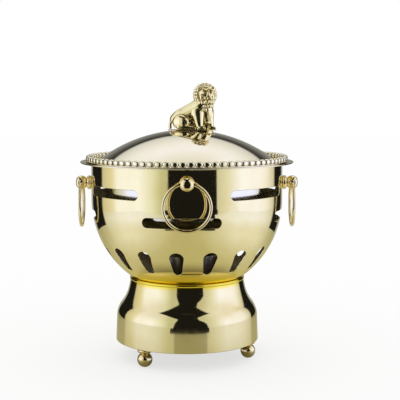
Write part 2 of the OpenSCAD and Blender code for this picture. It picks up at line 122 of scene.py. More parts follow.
class StoveSizes(bpy.types.PropertyGroup):
    """Sizes of the sheet metal, the fittings and the lid"""

    bowl_radius: length("Bowl radius", "Outer radius of the bowl's wall", reach_of("stove_bowl"))
    bowl_rim: length("Bowl rim", "Level of the bowl's upper edge", top_of("stove_bowl"))
    bowl_floor: length("Bowl floor", "Level of the bowl's underside", foot_of("stove_bowl"))
    bowl_straight: length("Straight wall", "Height of the bowl's straight wall", 31.9)
    sheet: length("Shell sheet", "Sheet thickness of bowl and base", 1.0)
    slot_height: length("Slot height", "Height of the long slots", 8.2)
    slot_reach: angle("Slot reach", "Half the angle that a long slot takes up", 23.0)
    petal_count: IntProperty(name="Petals", description="Number of petal slots", default=16, min=3, max=24)
    petal_turn: angle("Petal turn", "Turn of the first petal from the front", -7.0)
    petal_dip: angle("Petal dip", "Angle of the petals' middle below the bowl's centre", 35.2)
    petal_length: length("Petal length", "Length of a petal slot", 24.5)
    petal_head: length("Petal head", "Width of a petal's round upper end", 11.7)
    petal_foot: length("Petal foot", "Width of a petal's round lower end", 7.0)
    base_radius: length("Base radius", "Radius of the base's lower edge", reach_of("base_skirt"))
    base_edge: length("Base edge", "Level of the base's lower edge", foot_of("base_skirt"))
    band_height: length("Band height", "Height of the straight lower band", 21.3)
    band_lean: angle("Band lean", "Inward lean of the lower band", 2.3)
    shoulder_radius: length("Shoulder radius", "Radius of the shoulder above the band", 19.5)
    flare: angle("Flare", "Steepest lean of the base's side", 38.2)
    neck_lean: angle("Neck lean", "Inward lean of the neck", 12.0)
    neck_inset: length("Neck inset", "How far the lip lies inside the lower edge", 13.2)
    lip_radius: length("Lip radius", "Radius of the rolled lip", 1.4)
    pot_radius: length("Pot radius", "Outer radius of the inner pot", 71.0)
    pot_sheet: length("Pot sheet", "Sheet thickness of the inner pot", 0.8)
    pot_corner: length("Pot corner", "Radius of the pot's lower corner", 23.0)
    flange_radius: length("Flange radius", "Radius of the pot's rim flange", reach_of("inner_pot"))
    brim_radius: length("Brim radius", "Radius of the lid's brim", reach_of("lid_dome"))
    dome_radius: length("Dome radius", "Radius of the lid's dome", 126.04)
    dome_top: length("Dome top", "Level of the lid's highest point", top_of("lid_dome"))
    lid_cove: length("Lid cove", "Radius of the cove between dome and brim", 5.0)
    bead_size: length("Bead size", "Diameter of the border's balls", 5.8)
    bead_circle: length("Bead circle", "Radius of the circle that the balls stand on", 85.2)
    bead_count: IntProperty(name="Beads", description="Balls in the border", default=82, min=12, max=120)
    ball_size: length("Knob ball", "Diameter of the balls that carry the rings", 11.7)
    ball_reach: length("Ball reach", "Distance of a knob ball's middle from the axis", 91.8)
    collar_size: length("Collar", "Diameter of the knob collars", 12.1)
    collar_length: length("Collar length", "How far a collar stands out of the wall", 4.0)
    ring_radius: length("Ring radius", "Mean radius of the ring pulls", 19.0)
    ring_wire: length("Ring wire", "Thickness of the ring pulls", 2.6)
    ring_hole: length("Ring hole", "Width of the hole through a knob ball", 4.2)
    foot_ball: length("Foot ball", "Diameter of the feet's balls", 12.9)
    foot_collar: length("Foot collar", "Diameter of the feet's collars", 12.6)
    plinth_length: length("Plinth length", "Length of the lion's plinth", 42.0)
    plinth_width: length("Plinth width", "Width of the lion's plinth", 18.0)
    plinth_shift: length("Plinth shift", "How far the plinth's middle lies towards +X", 4.5)


class StoveFinishes(bpy.types.PropertyGroup):
    """Colours and polish of the metals"""

    shell_gold: tint("Shell gold", "Pale gold of bowl and base", (0.84, 0.745, 0.42))
    shell_deep: tint("Shell gold, deep", "Deeper gold where the shell's polish is worn", (0.80, 0.66, 0.32))
    # Painted reflection: yellow of the gold base mirrored in the shell where bowl and base meet
    shell_bounce_yellow: tint("Shell gold, heated", "Yellow of the shell where bowl and base meet", (0.85, 0.68, 0.10))
    # Dark inside of the bowl: unpolished steel, darkened as painted shade of the cavity
    shell_inside_shade: tint("Shell inside", "Sooty steel inside the bowl", (0.42, 0.36, 0.22))
    lid_gold: tint("Lid gold", "Very pale gold of the lid", (0.88, 0.82, 0.69))
    lid_deep: tint("Lid gold, deep", "Deeper gold where the lid's polish is worn", (0.84, 0.74, 0.55))
    fitting_gold: tint("Fitting gold", "Gold of knobs, rings and feet", (0.86, 0.74, 0.44))
    fitting_deep: tint("Fitting gold, deep", "Deeper gold of the fittings", (0.78, 0.60, 0.30))
    rim_gold: tint("Rim gold", "Gold of the pot's flange and the border's balls", (0.86, 0.795, 0.58))
    lion_gold: tint("Lion gold", "Gold of the lion and its plinth", (0.90, 0.79, 0.44))
    # Painted shade and painted gold reflection in the lion's hollows
    lion_hollow_shade: tint("Lion hollows", "Tarnish in the lion's hollows", (0.48, 0.32, 0.05))
    pot_silver: tint("Pot silver", "Steel of the pot's walls", (0.79, 0.76, 0.64))
    pot_straw: tint("Pot underside", "Steel under the pot, tinted brown by the fire", (0.36, 0.30, 0.17))
    burner_steel: tint("Burner steel", "Steel of the burner, tinted brown by the fire", (0.36, 0.31, 0.22))
    bolt_steel: tint("Bolt steel", "Steel of nuts, bolts and plates, tinted by the fire", (0.50, 0.44, 0.30))
    polish: share("Polish", "Roughness of the clean polished gold", 0.045)


def straight(start, end, parts=1):
    """Straight run of a half section from start to end: rows of radius, level and normal, right of travel."""
    start = np.asarray(start, float)
    end = np.asarray(end, float)
    t = np.linspace(0.0, 1.0, parts + 1)[:, None]
    way = (end - start) / np.linalg.norm(end - start)
    return np.hstack([start + t * (end - start), np.tile([way[1], -way[0]], (parts + 1, 1))])


def bend(centre, radius, start, end, parts=10):
    """Circular run about a centre from one angle to another, in degrees; a falling angle is hollow."""
    a = np.radians(np.linspace(start, end, parts + 1))
    ray = np.stack([np.cos(a), np.sin(a)], 1)
    return np.hstack([np.asarray(centre, float) + radius * ray, ray if end > start else -ray])


def meet(point, way, centre, radius):
    """Where a line through a point first enters a circle, walking along way."""
    gap = np.asarray(point, float) - centre
    b = gap @ way
    return point + (-b - math.sqrt(b * b - gap @ gap + radius * radius)) * way


def heading(way):
    """Angle of a vector in the section's plane, in degrees."""
    return math.degrees(math.atan2(way[1], way[0]))


def circle_at(radius, height):
    """Angle in degrees and half width of a circle at a height above its middle."""
    a = math.asin(height / radius)
    return math.degrees(a), radius * math.cos(a)


def unit(vectors):
    """Vectors divided by their own length."""
    return vectors / np.linalg.norm(vectors, axis=-1, keepdims=True)


def belt(low, high):
    """Corners of the quads between two closed rows of like length, for point numbers and for normals."""
    return np.stack([low, np.roll(low, -1, 0), np.roll(high, -1, 0), high], 1)


def lathe(runs, turns, closed=True):
    """Surface of revolution: the section's runs, walked anticlockwise, turned about Z in even steps.

    A point of a run at radius r and level z goes to (r cos t, r sin t, z). Rows at radius 0 become one point.
    """
    start = np.concatenate([run[:-1] for run in runs])
    end = np.concatenate([run[1:] for run in runs])
    rows = start if closed else np.concatenate([start, runs[-1][-1:]])
    t = np.linspace(0.0, TAU, turns, endpoint=False)

    def spun(r, z):
        return np.stack([np.outer(r, np.cos(t)), np.outer(r, np.sin(t)), np.outer(z, np.ones(turns))], -1)

    pole, low, high = (part[:, 0] < ON_AXIS for part in (rows, start, end))
    index = np.arange(len(rows) * turns).reshape(len(rows), turns)
    index[pole] = index[pole][:, :1]
    a = index[np.arange(len(start))]
    b = index[(np.arange(len(start)) + 1) % len(rows)]
    na = spun(start[:, 2], start[:, 3])
    nb = spun(end[:, 2], end[:, 3])
    a2, b2, na2, nb2 = (np.roll(x, -1, 1) for x in (a, b, na, nb))
    kinds = (
        (~low & ~high, (a, a2, b2, b), (na, na2, nb2, nb)),
        (low, (a, b2, b), (na, nb2, nb)),
        (high, (a, a2, b), (na, na2, nb)),
    )
    faces = [np.stack(ring, -1)[some].reshape(-1, len(ring)) for some, ring, _ in kinds]
    norms = [np.stack(ring, -2)[some].reshape(-1, len(ring), 3) for some, _, ring in kinds]
    return spun(rows[:, 0], rows[:, 1]).reshape(-1, 3), faces, norms


def moved(shape, axes, origin):
    """The same shape with its X, Y and Z laid along three unit axes and its zero point at origin."""
    verts, faces, norms = shape
    axes = np.asarray(axes, float)
    return verts @ axes + origin, faces, [n @ axes for n in norms]


def joined(shapes):
    """Several shapes as one, with their points numbered on."""
    starts = np.cumsum([0] + [len(s[0]) for s in shapes[:-1]])
    verts = np.concatenate([s[0] for s in shapes])
    faces = [f + k for s, k in zip(shapes, starts) for f in s[1]]
    return verts, faces, [n for s in shapes for n in s[2]]


def lay_mesh(name, shape):
    """Puts a shape's arrays into a mesh object, in millimetres, with its own corner normals."""
    verts, faces, norms = shape
    faces = [f for f in faces if len(f)]
    norms = [n for n in norms if len(n)]
    corners = np.concatenate([f.ravel() for f in faces])
    counts = np.concatenate([np.full(len(f), f.shape[1]) for f in faces])
    used, corners = np.unique(corners, return_inverse=True)
    mesh = bpy.data.meshes.new(name)
    mesh.vertices.add(len(used))
    mesh.vertices.foreach_set("co", (verts[used] * MM).astype(np.float32).ravel())
    mesh.loops.add(len(corners))
    mesh.loops.foreach_set("vertex_index", corners.astype(np.int32).ravel())
    mesh.polygons.add(len(counts))
    mesh.polygons.foreach_set("loop_start", np.concatenate([[0], np.cumsum(counts)[:-1]]).astype(np.int32))
    mesh.polygons.foreach_set("use_smooth", np.ones(len(counts), bool))
    mesh.update(calc_edges=True)
    mesh.normals_split_custom_set(np.concatenate([n.reshape(-1, 3) for n in norms]).astype(np.float32))
    piece = bpy.data.objects.new(name, mesh)
    bpy.context.scene.collection.objects.link(piece)
    return piece


def fitted(piece, finish, body, slot, *nodes):
    """Gives a piece its finish, lets it ride on its body and stand for its CAD nodes."""
    piece.data.materials.clear()
    piece.data.materials.append(finish)
    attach(piece, body)
    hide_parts(*nodes)
    return piece


def built(name, shape, kind, *fit):
    """Lays a shape's mesh and fits it with the finish of its kind."""
    return fitted(lay_mesh(name, shape), finish_of(kind), *fit)


def coated(piece, kinds, index):
    """Adds finishes to a piece and gives each face the number of the one that it takes."""
    for kind in kinds:
        piece.data.materials.append(finish_of(kind))
    piece.data.polygons.foreach_set("material_index", index.astype(np.int32))


def pressed(shape, centre, out, radius, depth):
    """A ball pressed flatter on its outer side: a point at o along out moves in by depth * (o / radius)^4.

    The normal's outward share is divided by the slope of that move, so that it stays square to the new face.
    """
    verts, faces, norms = shape
    o = np.clip((verts - centre) @ out / radius, 0, 1)
    turned = []
    for f, n in zip(faces, norms):
        grown = 1 / (1 - 4 * depth / radius * o[f] ** 3) - 1
        turned.append(unit(n + (grown * (n @ out))[..., None] * out))
    return verts - (depth * o**4)[:, None] * out, faces, turned


def squashed(shape, floor, sizes):
    """A shape stretched along the axes: X, Y and the height above a floor times three sizes.

    The normals are divided by the same sizes, so that they stay square to the new faces.
    """
    verts, faces, norms = shape
    low = [0.0, 0.0, floor]
    return (verts - low) * sizes + low, faces, [unit(n / sizes) for n in norms]


def side_axes(turn):
    """Across, up and outward axes of a fitting on the wall, a turn in degrees from the front."""
    a = math.radians(turn)
    out = np.array([math.sin(a), -math.cos(a), 0.0])
    return np.array([math.cos(a), math.sin(a), 0.0]), np.array([0.0, 0.0, 1.0]), out


def inside(points, loop):
    """Even-odd test: which points lie inside a closed outline."""
    x, y = points[:, :1], points[:, 1:]
    x0, y0 = loop[:, 0], loop[:, 1]
    x1, y1 = np.roll(x0, -1), np.roll(y0, -1)
    spans = (y0 > y) != (y1 > y)
    rise = np.where(y1 == y0, 1.0, y1 - y0)
    return (spans & (x < x0 + (y - y0) / rise * (x1 - x0))).sum(1) % 2 == 1


def clear_of(points, loop, gap):
    """Which points lie outside a closed outline and further than gap from its corners."""
    near = ((points[:, None] - loop[None]) ** 2).sum(-1).min(1) < gap * gap
    return ~near & ~inside(points, loop)


def pierced_wall(width, height, step, holes, chart, wall, edge):
    """Sheet of even thickness with holes, joined to itself at its two ends and closed by a floor.

    The sheet is drawn unrolled: triangles on a grid of width by height, with each hole's outline worked in.
    chart gives the place and outward normal of each drawn point; the inner face lies one wall further in.
    A hole's wall has an edge rounded by the given radius on both faces.
    """
    nu, nv = round(width / step), round(height / step)
    u, v = np.linspace(0, width, nu + 1), np.linspace(0, height, nv + 1)
    loops = [hole(edge) for hole in holes]
    uu, vv = np.meshgrid(u[1:-1], v[1:-1])
    uu = uu + 0.5 * width / nu * (np.arange(nv - 1)[:, None] % 2 - 0.5)
    field = np.stack([uu.ravel(), vv.ravel()], 1)
    for loop in loops:
        field = field[clear_of(field, loop, HOLE_MARGIN * step)]
    low = np.stack([u, 0 * u], 1)
    high = np.stack([u[::-1], 0 * u + height], 1)
    right = np.stack([0 * v + width, v], 1)[1:-1]
    left = np.stack([0 * v, v], 1)[-2:0:-1]
    rings = [np.concatenate([low, right, high, left])] + loops
    starts = np.cumsum([0] + [len(r) for r in rings])
    points = np.concatenate(rings + [field])
    ties = []
    for ring, start in zip(rings, starts):
        k = start + np.arange(len(ring))
        ties.append(np.stack([k, np.roll(k, -1)], 1))
    made = delaunay_2d_cdt(points.tolist(), np.concatenate(ties).tolist(), [], 0, SAME_POINT)
    if len(made[0]) != len(points):
        raise RuntimeError("the unrolled sheet's outlines cross")
    tris = np.array(made[2])
    p = points[tris]
    turn = np.cross(p[:, 1] - p[:, 0], p[:, 2] - p[:, 0])
    tris = np.where((turn < 0)[:, None], tris[:, ::-1], tris)[np.abs(turn) > NO_AREA]
    middle = points[tris].mean(1)
    for loop in loops:
        gone = inside(middle, loop)
        tris, middle = tris[~gone], middle[~gone]

    weld = np.arange(len(points))
    side_at = nu + 1
    rim_at = side_at + nv - 1
    weld[nu] = 0
    weld[side_at:rim_at] = rim_at + nu + 1 + np.arange(nv - 1)[::-1]
    weld[rim_at] = rim_at + nu
    place, norm = chart(points)
    count = len(points)
    verts = [place, place - wall * norm]
    faces = [weld[tris], weld[tris][:, ::-1] + count]
    norms = [norm[tris], -norm[tris][:, ::-1]]
    total = 2 * count
    for hole, start, loop in zip(holes, starts[1:], loops):
        k = np.arange(len(loop))
        rim, up = chart(hole(0.0))
        into = unit(np.cross(up, np.roll(rim, -1, 0) - np.roll(rim, 1, 0)))
        rows = [start + k, total + k, total + len(k) + k, count + start + k]
        facing = [norm[start + k], into, into, -norm[start + k]]
        verts += [rim - edge * up, rim - (wall - edge) * up]
        total += 2 * len(k)
        faces += [belt(a, b) for a, b in zip(rows[:-1], rows[1:])]
        norms += [belt(a, b) for a, b in zip(facing[:-1], facing[1:])]

    rim = weld[rim_at + np.arange(nu + 1)]
    faces.append(np.stack([rim[1:], rim[:-1], rim[:-1] + count, rim[1:] + count], 1))
    norms.append(np.tile([0.0, 0.0, 1.0], (nu, 4, 1)))
    foot = weld[np.arange(nu + 1)]
    for shift, sign, hub in ((0, -1.0, total), (count, 1.0, total + 1)):
        verts.append(np.array([[0.0, 0.0, (place - wall * norm * (shift > 0))[0, 2]]]))
        fan = np.stack([foot[1:] + shift, foot[:-1] + shift, np.full(nu, hub)], 1)
        faces.append(fan if sign < 0 else fan[:, ::-1])
        norms.append(np.tile([0.0, 0.0, sign], (nu, 3, 1)))
    return np.concatenate(verts), faces, norms


def ball(centre, radii, axes=np.eye(3), around=16, along=10):
    """Ellipsoid: centre plus three half axes times a unit ball's point on a grid of turn and dip."""
    a = np.radians(np.linspace(-90, 90, along + 1))
    run = np.stack([np.cos(a), np.sin(a)], 1)
    run[[0, -1], 0] = 0.0
    shape = lathe([np.hstack([run, run])], around, closed=False)
    return moved(squashed(shape, 0.0, radii * np.ones(3)), axes, np.asarray(centre, float))


def smooth_rows(rows, count):
    """Catmull-Rom curve through rows of numbers, at an even count of steps."""
    rows = np.asarray(rows, float)
    p = np.vstack([2 * rows[0] - rows[1], rows, 2 * rows[-1] - rows[-2]])
    t = np.linspace(0, len(rows) - 1, count)
    i = np.minimum(t.astype(int), len(rows) - 2)
    f = (t - i)[:, None]
    a, b, c, d = p[i], p[i + 1], p[i + 2], p[i + 3]
    return 0.5 * (2 * b + (c - a) * f + (2 * a - 5 * b + 4 * c - d) * f**2 + (3 * b - a - 3 * c + d) * f**3)


def limb(rows, guide=(0.0, 1.0, 0.0), around=18, along=26):
    """Closed limb: an oval carried along a smooth path, its size rounded off to a point at both ends.

    Rows hold the path's place, the half width along the guide and the half width across it.
    """
    s = smooth_rows(rows, along)
    way = unit(np.gradient(s[:, :3], axis=0))
    side = unit(np.asarray(guide) - (way @ np.asarray(guide))[:, None] * way)
    lift = np.cross(way, side)
    end = np.abs(np.linspace(-1, 1, along)) ** 5
    size = np.sqrt(np.clip(1 - end**2, LIMB_END**2, 1))[:, None]
    t = np.linspace(0, TAU, around, endpoint=False)
    ring = s[:, None, :3] + (size * s[:, 3:4])[:, None] * side[:, None] * np.cos(t)[None, :, None]
    ring = ring + (size * s[:, 4:5])[:, None] * lift[:, None] * np.sin(t)[None, :, None]
    index = np.arange(along * around).reshape(along, around)
    quads = np.concatenate([belt(a, b) for a, b in zip(index[:-1], index[1:])])
    faces = [quads, index[:1, ::-1], index[-1:]]
    return ring.reshape(-1, 3), faces, [np.zeros(f.shape + (3,)) + [0.0, 0.0, 1.0] for f in faces]


def feed(tree, node, inputs):
    """Feeds a node's inputs by name or number: an output is linked, a plain value is set."""
    for label, value in dict(inputs).items():
        if isinstance(value, bpy.types.NodeSocket):
            tree.links.new(value, node.inputs[label])
        else:
            node.inputs[label].default_value = value
    return node


def add(tree, kind, inputs=(), **settings):
    """New shader node of a kind, with its settings and its inputs."""
    node = tree.nodes.new("ShaderNode" + kind)
    for label, value in settings.items():
        setattr(node, label, value)
    return feed(tree, node, inputs)


def calc(tree, operation, *values):
    """Result of a Math node whose inputs are outputs of other nodes or plain numbers."""
    return add(tree, "Math", enumerate(values), operation=operation).outputs[0]


def spread(tree, value, low, high):
    """Number stretched so that low becomes 0 and high becomes 1, smoothly and held at both ends."""
    ends = {"Value": value, "From Min": low, "From Max": high}
    return add(tree, "MapRange", ends, interpolation_type="SMOOTHSTEP").outputs["Result"]


def mixed(tree, factor, first, second):
    """First colour where factor is 0, second where it is 1."""
    ends = {"Factor": factor, "A": first, "B": second}
    return add(tree, "Mix", ends, data_type="RGBA").outputs["Result"]


def faded(tree, value, low, high, first, second):
    """First colour where a number is at low, second where it is at high."""
    return mixed(tree, spread(tree, value, low, high), first, second)


def ramp_of(tree, value, stops, reach):
    """Colours over a number from 0 to 1: stops hold a place from -reach to reach and a grey or colour."""
    node = add(tree, "ValToRGB", {"Fac": value})
    elements = node.color_ramp.elements
    elements.remove(elements[-1])
    for i, (place, level) in enumerate(stops):
        place = (place + reach) / (2 * reach)
        mark = elements.new(place) if i else elements[0]
        mark.position = place
        mark.color = (*(level if isinstance(level, tuple) else [level] * 3), 1.0)
    return node.outputs["Color"]


def axes_of(tree, system="Object"):
    """X, Y and Z of a coordinate system, a piece's own unless another is named."""
    return add(tree, "SeparateXYZ", {0: add(tree, "TexCoord").outputs[system]}).outputs


def turn_of(tree, x, y):
    """Turn about the upright axis as a share of a full turn, 0.5 at the front."""
    around = calc(tree, "ARCTAN2", x, calc(tree, "MULTIPLY", y, -1.0))
    return calc(tree, "MULTIPLY_ADD", around, 1 / TAU, 0.5)


def new_group(name, label, value, *results):
    """Shader node group with one number input and some number outputs: the group, its input and its end."""
    group = bpy.data.node_groups.new(name, "ShaderNodeTree")
    number = "NodeSocketFloat"
    group.interface.new_socket(name=label, in_out="INPUT", socket_type=number).default_value = value
    for result in results:
        group.interface.new_socket(name=result, in_out="OUTPUT", socket_type=number)
    return group, group.nodes.new("NodeGroupInput").outputs[0], group.nodes.new("NodeGroupOutput")


def noise(tree, place, scale, settings, **kind):
    """Noise from about 0 to 1 over a place, at a scale."""
    return add(tree, "TexNoise", {"Vector": place, "Scale": scale, **settings}, **kind).outputs["Fac"]


def polish_haze_group():
    """Soft cloudy mask of a hand-polished metal, with a finer speckle beside it."""
    group, scale, end = new_group("polish_haze", "Scale", 60.0, "Cloud", "Speckle")
    place = add(group, "TexCoord").outputs["Object"]
    for label, times, low, high in (("Cloud", 1.0, 0.38, 0.68), ("Speckle", 14.0, 0.45, 0.75)):
        fine = calc(group, "MULTIPLY", scale, times)
        cloud = noise(group, place, fine, {"Detail": 4.0, "Roughness": 0.6})
        feed(group, end, {label: spread(group, cloud, low, high)})
    return group


def spinning_marks_group():
    """Fine rings that a spinning lathe leaves round the upright axis: noise over radius and level only."""
    group, pitch, end = new_group("spinning_marks", "Pitch", 900.0, "Height", "Mask")
    x, y, z = axes_of(group)
    flat = calc(group, "SQRT", calc(group, "MULTIPLY_ADD", y, y, calc(group, "POWER", x, 2.0)))
    both = add(group, "CombineXYZ", {"X": flat, "Y": z}).outputs[0]
    rings = noise(group, both, pitch, {"Detail": 3.0}, noise_dimensions="2D")
    feed(group, end, {"Height": rings, "Mask": spread(group, rings, 0.4, 0.7)})
    return group


def hand_marks_group():
    """Faint smudges of handling: warped noise, cut so that only its highest parts stay."""
    group, scale, end = new_group("hand_marks", "Scale", 35.0, "Mask")
    smudge = noise(group, add(group, "TexCoord").outputs["Object"], scale, {"Detail": 6.0, "Distortion": 1.4})
    feed(group, end, {"Mask": spread(group, smudge, 0.56, 0.78)})
    return group


def placed(tree, maker, name, value):
    """Outputs of a node that holds a shared group, made on first use, with its own value as input."""
    shared = bpy.data.node_groups.get(name) or maker()
    return add(tree, "Group", {0: value}, node_tree=shared).outputs


def new_material(name):
    """Material with an empty node tree of its own, and that tree."""
    material = bpy.data.materials.new(name)
    material.use_nodes = True
    return material, material.node_tree


# Near-black painted shade in the deepest hollows
DEEP_HOLLOW_SHADE = (0.03, 0.02, 0.008)
# Depth of a hollow, from 0 to 1, at which its colour starts to go over into the near-black painted shade
DEEP_FROM = 0.7
MARK_SCALE = 0.6
CLOUD_WEAR = 0.35
MARK_WEAR = 0.25
# Shares of the haze that speckle, hand marks and spinning marks add to the roughness
SPECKLE_HAZE = 0.3
MARK_HAZE = 1.6
SPINNING_HAZE = 0.5
HOLLOW_ROUGH = 0.3
SPINNING_PITCH = 900.0
SPINNING_DEPTH = 0.00002


def metal(name, colour, deep, rough, lines=0.0, haze=0.03, scale=60.0, crease=None, bounce=None):
    """Polished metal: clouded colour, roughness from haze and hand marks, and a trace of spinning marks.

    Where a piece carries a crease attribute, its hollows take the crease colour as painted shade, the deepest
    a near-black painted shade. A bounce colour, a painted yellow reflection, comes in over a
    belt of levels, in metres: full between the second and third, gone below the first and above the fourth.
    """
    finish, tree = new_material(name)
    finish.diffuse_color = (*colour, 1.0)
    cloud = placed(tree, polish_haze_group, "polish_haze", scale)
    marks = placed(tree, hand_marks_group, "hand_marks", MARK_SCALE * scale)["Mask"]
    worn = calc(tree, "MULTIPLY_ADD", marks, MARK_WEAR, calc(tree, "MULTIPLY", cloud["Cloud"], CLOUD_WEAR))
    skin = mixed(tree, worn, (*colour, 1.0), (*deep, 1.0))
    # Painted yellow reflection of the gold base over a belt of levels
    if bounce:
        bounce_colour, (out_low, low, high, out_high) = bounce
        level = axes_of(tree)["Z"]
        bounce_share = calc(tree, "MULTIPLY", spread(tree, level, out_low, low), spread(tree, level, out_high, high))
        skin = mixed(tree, bounce_share, skin, (*bounce_colour, 1.0))
    grain = calc(tree, "MULTIPLY_ADD", cloud["Cloud"], haze, rough)
    grain = calc(tree, "MULTIPLY_ADD", cloud["Speckle"], SPECKLE_HAZE * haze, grain)
    grain = calc(tree, "MULTIPLY_ADD", marks, MARK_HAZE * haze, grain)
    # Painted shade in the hollows: the crease colour, and near black in the deepest
    if crease:
        hollow = add(tree, "Attribute", attribute_name="crease").outputs["Fac"]
        skin = faded(tree, hollow, 0.0, DEEP_FROM, skin, (*crease, 1.0))
        skin = faded(tree, hollow, DEEP_FROM, 1.0, skin, (*DEEP_HOLLOW_SHADE, 1.0))
        grain = calc(tree, "MULTIPLY_ADD", hollow, HOLLOW_ROUGH, grain)
    ends = {"Metallic": 1.0, "Base Color": skin}
    if lines:
        rings = placed(tree, spinning_marks_group, "spinning_marks", SPINNING_PITCH)
        grain = calc(tree, "MULTIPLY_ADD", rings["Mask"], SPINNING_HAZE * haze, grain)
        relief = {"Height": rings["Height"], "Strength": lines, "Distance": SPINNING_DEPTH}
        ends["Normal"] = add(tree, "Bump", relief).outputs["Normal"]
    feed(tree, tree.nodes["Principled BSDF"], {**ends, "Roughness": grain})
    return finish


# Levels in metres of the belt where the shell takes a painted yellow reflection of the gold base
BOUNCE_BELT = (0.0655, 0.0690, 0.0760, 0.0860)


def finish_of(kind):
    """The material of one kind of piece, made on first use from the scene's finishes.

    Each kind has its colour, its worn colour or the share of the colour that stays, its roughness, the
    strength of its spinning marks, and what else its metal needs.
    """
    f = bpy.context.scene.stove_finishes
    gloss = f.polish
    cast = {"haze": 0.04, "scale": 160.0, "crease": f.lion_hollow_shade}
    kinds = {
        "shell": (f.shell_gold, f.shell_deep, gloss, 0.05, {"bounce": (f.shell_bounce_yellow, BOUNCE_BELT)}),
        "inside_shade": (f.shell_inside_shade, 0.7, 0.4, 0.0, {}),
        "lid": (f.lid_gold, f.lid_deep, gloss, 0.05, {}),
        "fitting": (f.fitting_gold, f.fitting_deep, gloss + 0.01, 0.0, {}),
        "rim": (f.rim_gold, 0.94, gloss + 0.02, 0.0, {}),
        "lion": (f.lion_gold, f.fitting_gold, gloss + 0.09, 0.0, cast),
        "pot": (f.pot_silver, 0.9, 0.12, 0.25, {}),
        "straw": (f.pot_straw, 0.92, 0.08, 0.15, {}),
        "burner": (f.burner_steel, 0.75, 0.3, 0.3, {}),
        "bolt": (f.bolt_steel, 0.7, 0.26, 0.2, {}),
    }
    colour, deep, rough, lines, more = kinds[kind]
    if isinstance(deep, float):
        deep = [deep * c for c in colour]
    name = kind + "_metal"
    return bpy.data.materials.get(name) or metal(name, tuple(colour), tuple(deep), rough, lines, **more)


def in_mm(*names):
    """Sizes of the scene by name, in millimetres."""
    sizes = bpy.context.scene.stove_sizes
    return [getattr(sizes, n) / MM for n in names]


def base_section():
    """Runs of the base's section: band, shoulder, cove, neck, rolled lip, and the same one sheet inside."""
    s = bpy.context.scene.stove_sizes
    edge_r, edge_z, band, shoulder, inset, lip, wall = in_mm(
        "base_radius", "base_edge", "band_height", "shoulder_radius", "neck_inset", "lip_radius", "sheet")
    lean, flare, neck = (np.array([math.cos(a), math.sin(a)]) for a in (s.band_lean, s.flare, s.neck_lean))
    lip_z = top_of("base_skirt") - lip
    lip_at = np.array([edge_r - inset - wall / 2, lip_z])
    neck_top = np.array([edge_r - inset, lip_z])
    band_top = np.array([edge_r - band * math.tan(s.band_lean), edge_z + band])
    hub = band_top - shoulder * lean
    turn = hub + shoulder * flare
    cove = (turn @ neck - neck_top @ neck) / (1 - flare @ neck)
    cove_hub = turn + cove * flare
    neck_foot = cove_hub - cove * neck
    rise = np.array([-neck[1], neck[0]])
    outer_lip = meet(neck_top, rise, lip_at, lip)
    inner_lip = meet(neck_top - wall * neck, rise, lip_at, lip)
    deg = [math.degrees(a) for a in (s.band_lean, s.flare, s.neck_lean)]
    soft = 0.45
    slope = math.tan(s.band_lean)
    foot = [edge_r - soft, edge_z + soft]
    foot_in = [edge_r - wall + soft, edge_z + soft]
    return [
        bend(foot, soft, -90, deg[0], 4),
        straight([edge_r - soft * slope, edge_z + soft], band_top, 2),
        bend(hub, shoulder, deg[0], deg[1], 28),
        bend(cove_hub, cove, 180 + deg[1], 180 + deg[2], 22),
        straight(neck_foot, outer_lip, 2),
        bend(lip_at, lip, heading(outer_lip - lip_at), heading(inner_lip - lip_at) + 360, 20),
        straight(inner_lip, neck_foot - wall * neck, 2),
        bend(cove_hub, cove + wall, 180 + deg[2], 180 + deg[1], 14),
        bend(hub, shoulder - wall, deg[1], deg[0], 14),
        straight(band_top - wall * lean, [edge_r - wall, edge_z + soft], 2),
        bend(foot_in, soft, 180, 270, 4),
        straight([edge_r - wall + soft, edge_z], [edge_r - soft, edge_z]),
    ]


def bowl_chart():
    """Place and normal of points of the unrolled bowl: turn by u, then up the round bottom and the wall."""
    radius, rim, floor, tall = in_mm("bowl_radius", "bowl_rim", "bowl_floor", "bowl_straight")
    middle = rim - tall
    dip = math.asin((middle - floor) / radius)
    seam = math.radians(22.5)

    def chart(points):
        turn = points[:, 0] / radius + seam
        low = np.clip(dip - points[:, 1] / radius, 0, None)
        out = np.stack([np.sin(turn), -np.cos(turn), 0 * turn], 1)
        up = np.array([0.0, 0.0, 1.0])
        norm = np.cos(low)[:, None] * out - np.sin(low)[:, None] * up
        level = middle - radius * np.sin(low) + np.clip(points[:, 1] - dip * radius, 0, None)
        return (radius * np.cos(low))[:, None] * out + level[:, None] * up, norm

    def drawn(turn, level):
        low = np.arcsin(np.clip((middle - level) / radius, 0, 1))
        up = (dip - low) * radius + np.clip(level - middle, 0, None)
        return np.stack([(turn - seam) % TAU * radius, up], 1)

    return chart, drawn, TAU * radius, dip * radius + tall, middle


def long_slot(drawn, middle, turn, level):
    """Outline of a long slot, let out by an amount: two level edges joined by half circles."""
    radius, tall = in_mm("bowl_radius", "slot_height")
    reach = bpy.context.scene.stove_sizes.slot_reach - math.asin(tall / 2 / radius)

    def outline(grow):
        half = tall / 2 + grow
        run = np.linspace(-1, 1, 42)[1:-1]
        arc = np.linspace(-math.pi / 2, math.pi / 2, 15)
        flat = 0 * run
        z = np.concatenate([flat - half, half * np.sin(arc), flat + half, -half * np.sin(arc)])
        side = np.concatenate([flat, half * np.cos(arc), flat, -half * np.cos(arc)])
        a = np.concatenate([run, 0 * arc + 1, -run, 0 * arc - 1]) * reach
        ring = radius * np.cos(np.arcsin(np.clip((middle - level - z) / radius, 0, 1)))
        return drawn(math.radians(turn) + a + np.arcsin(side / ring), level + z)

    return outline


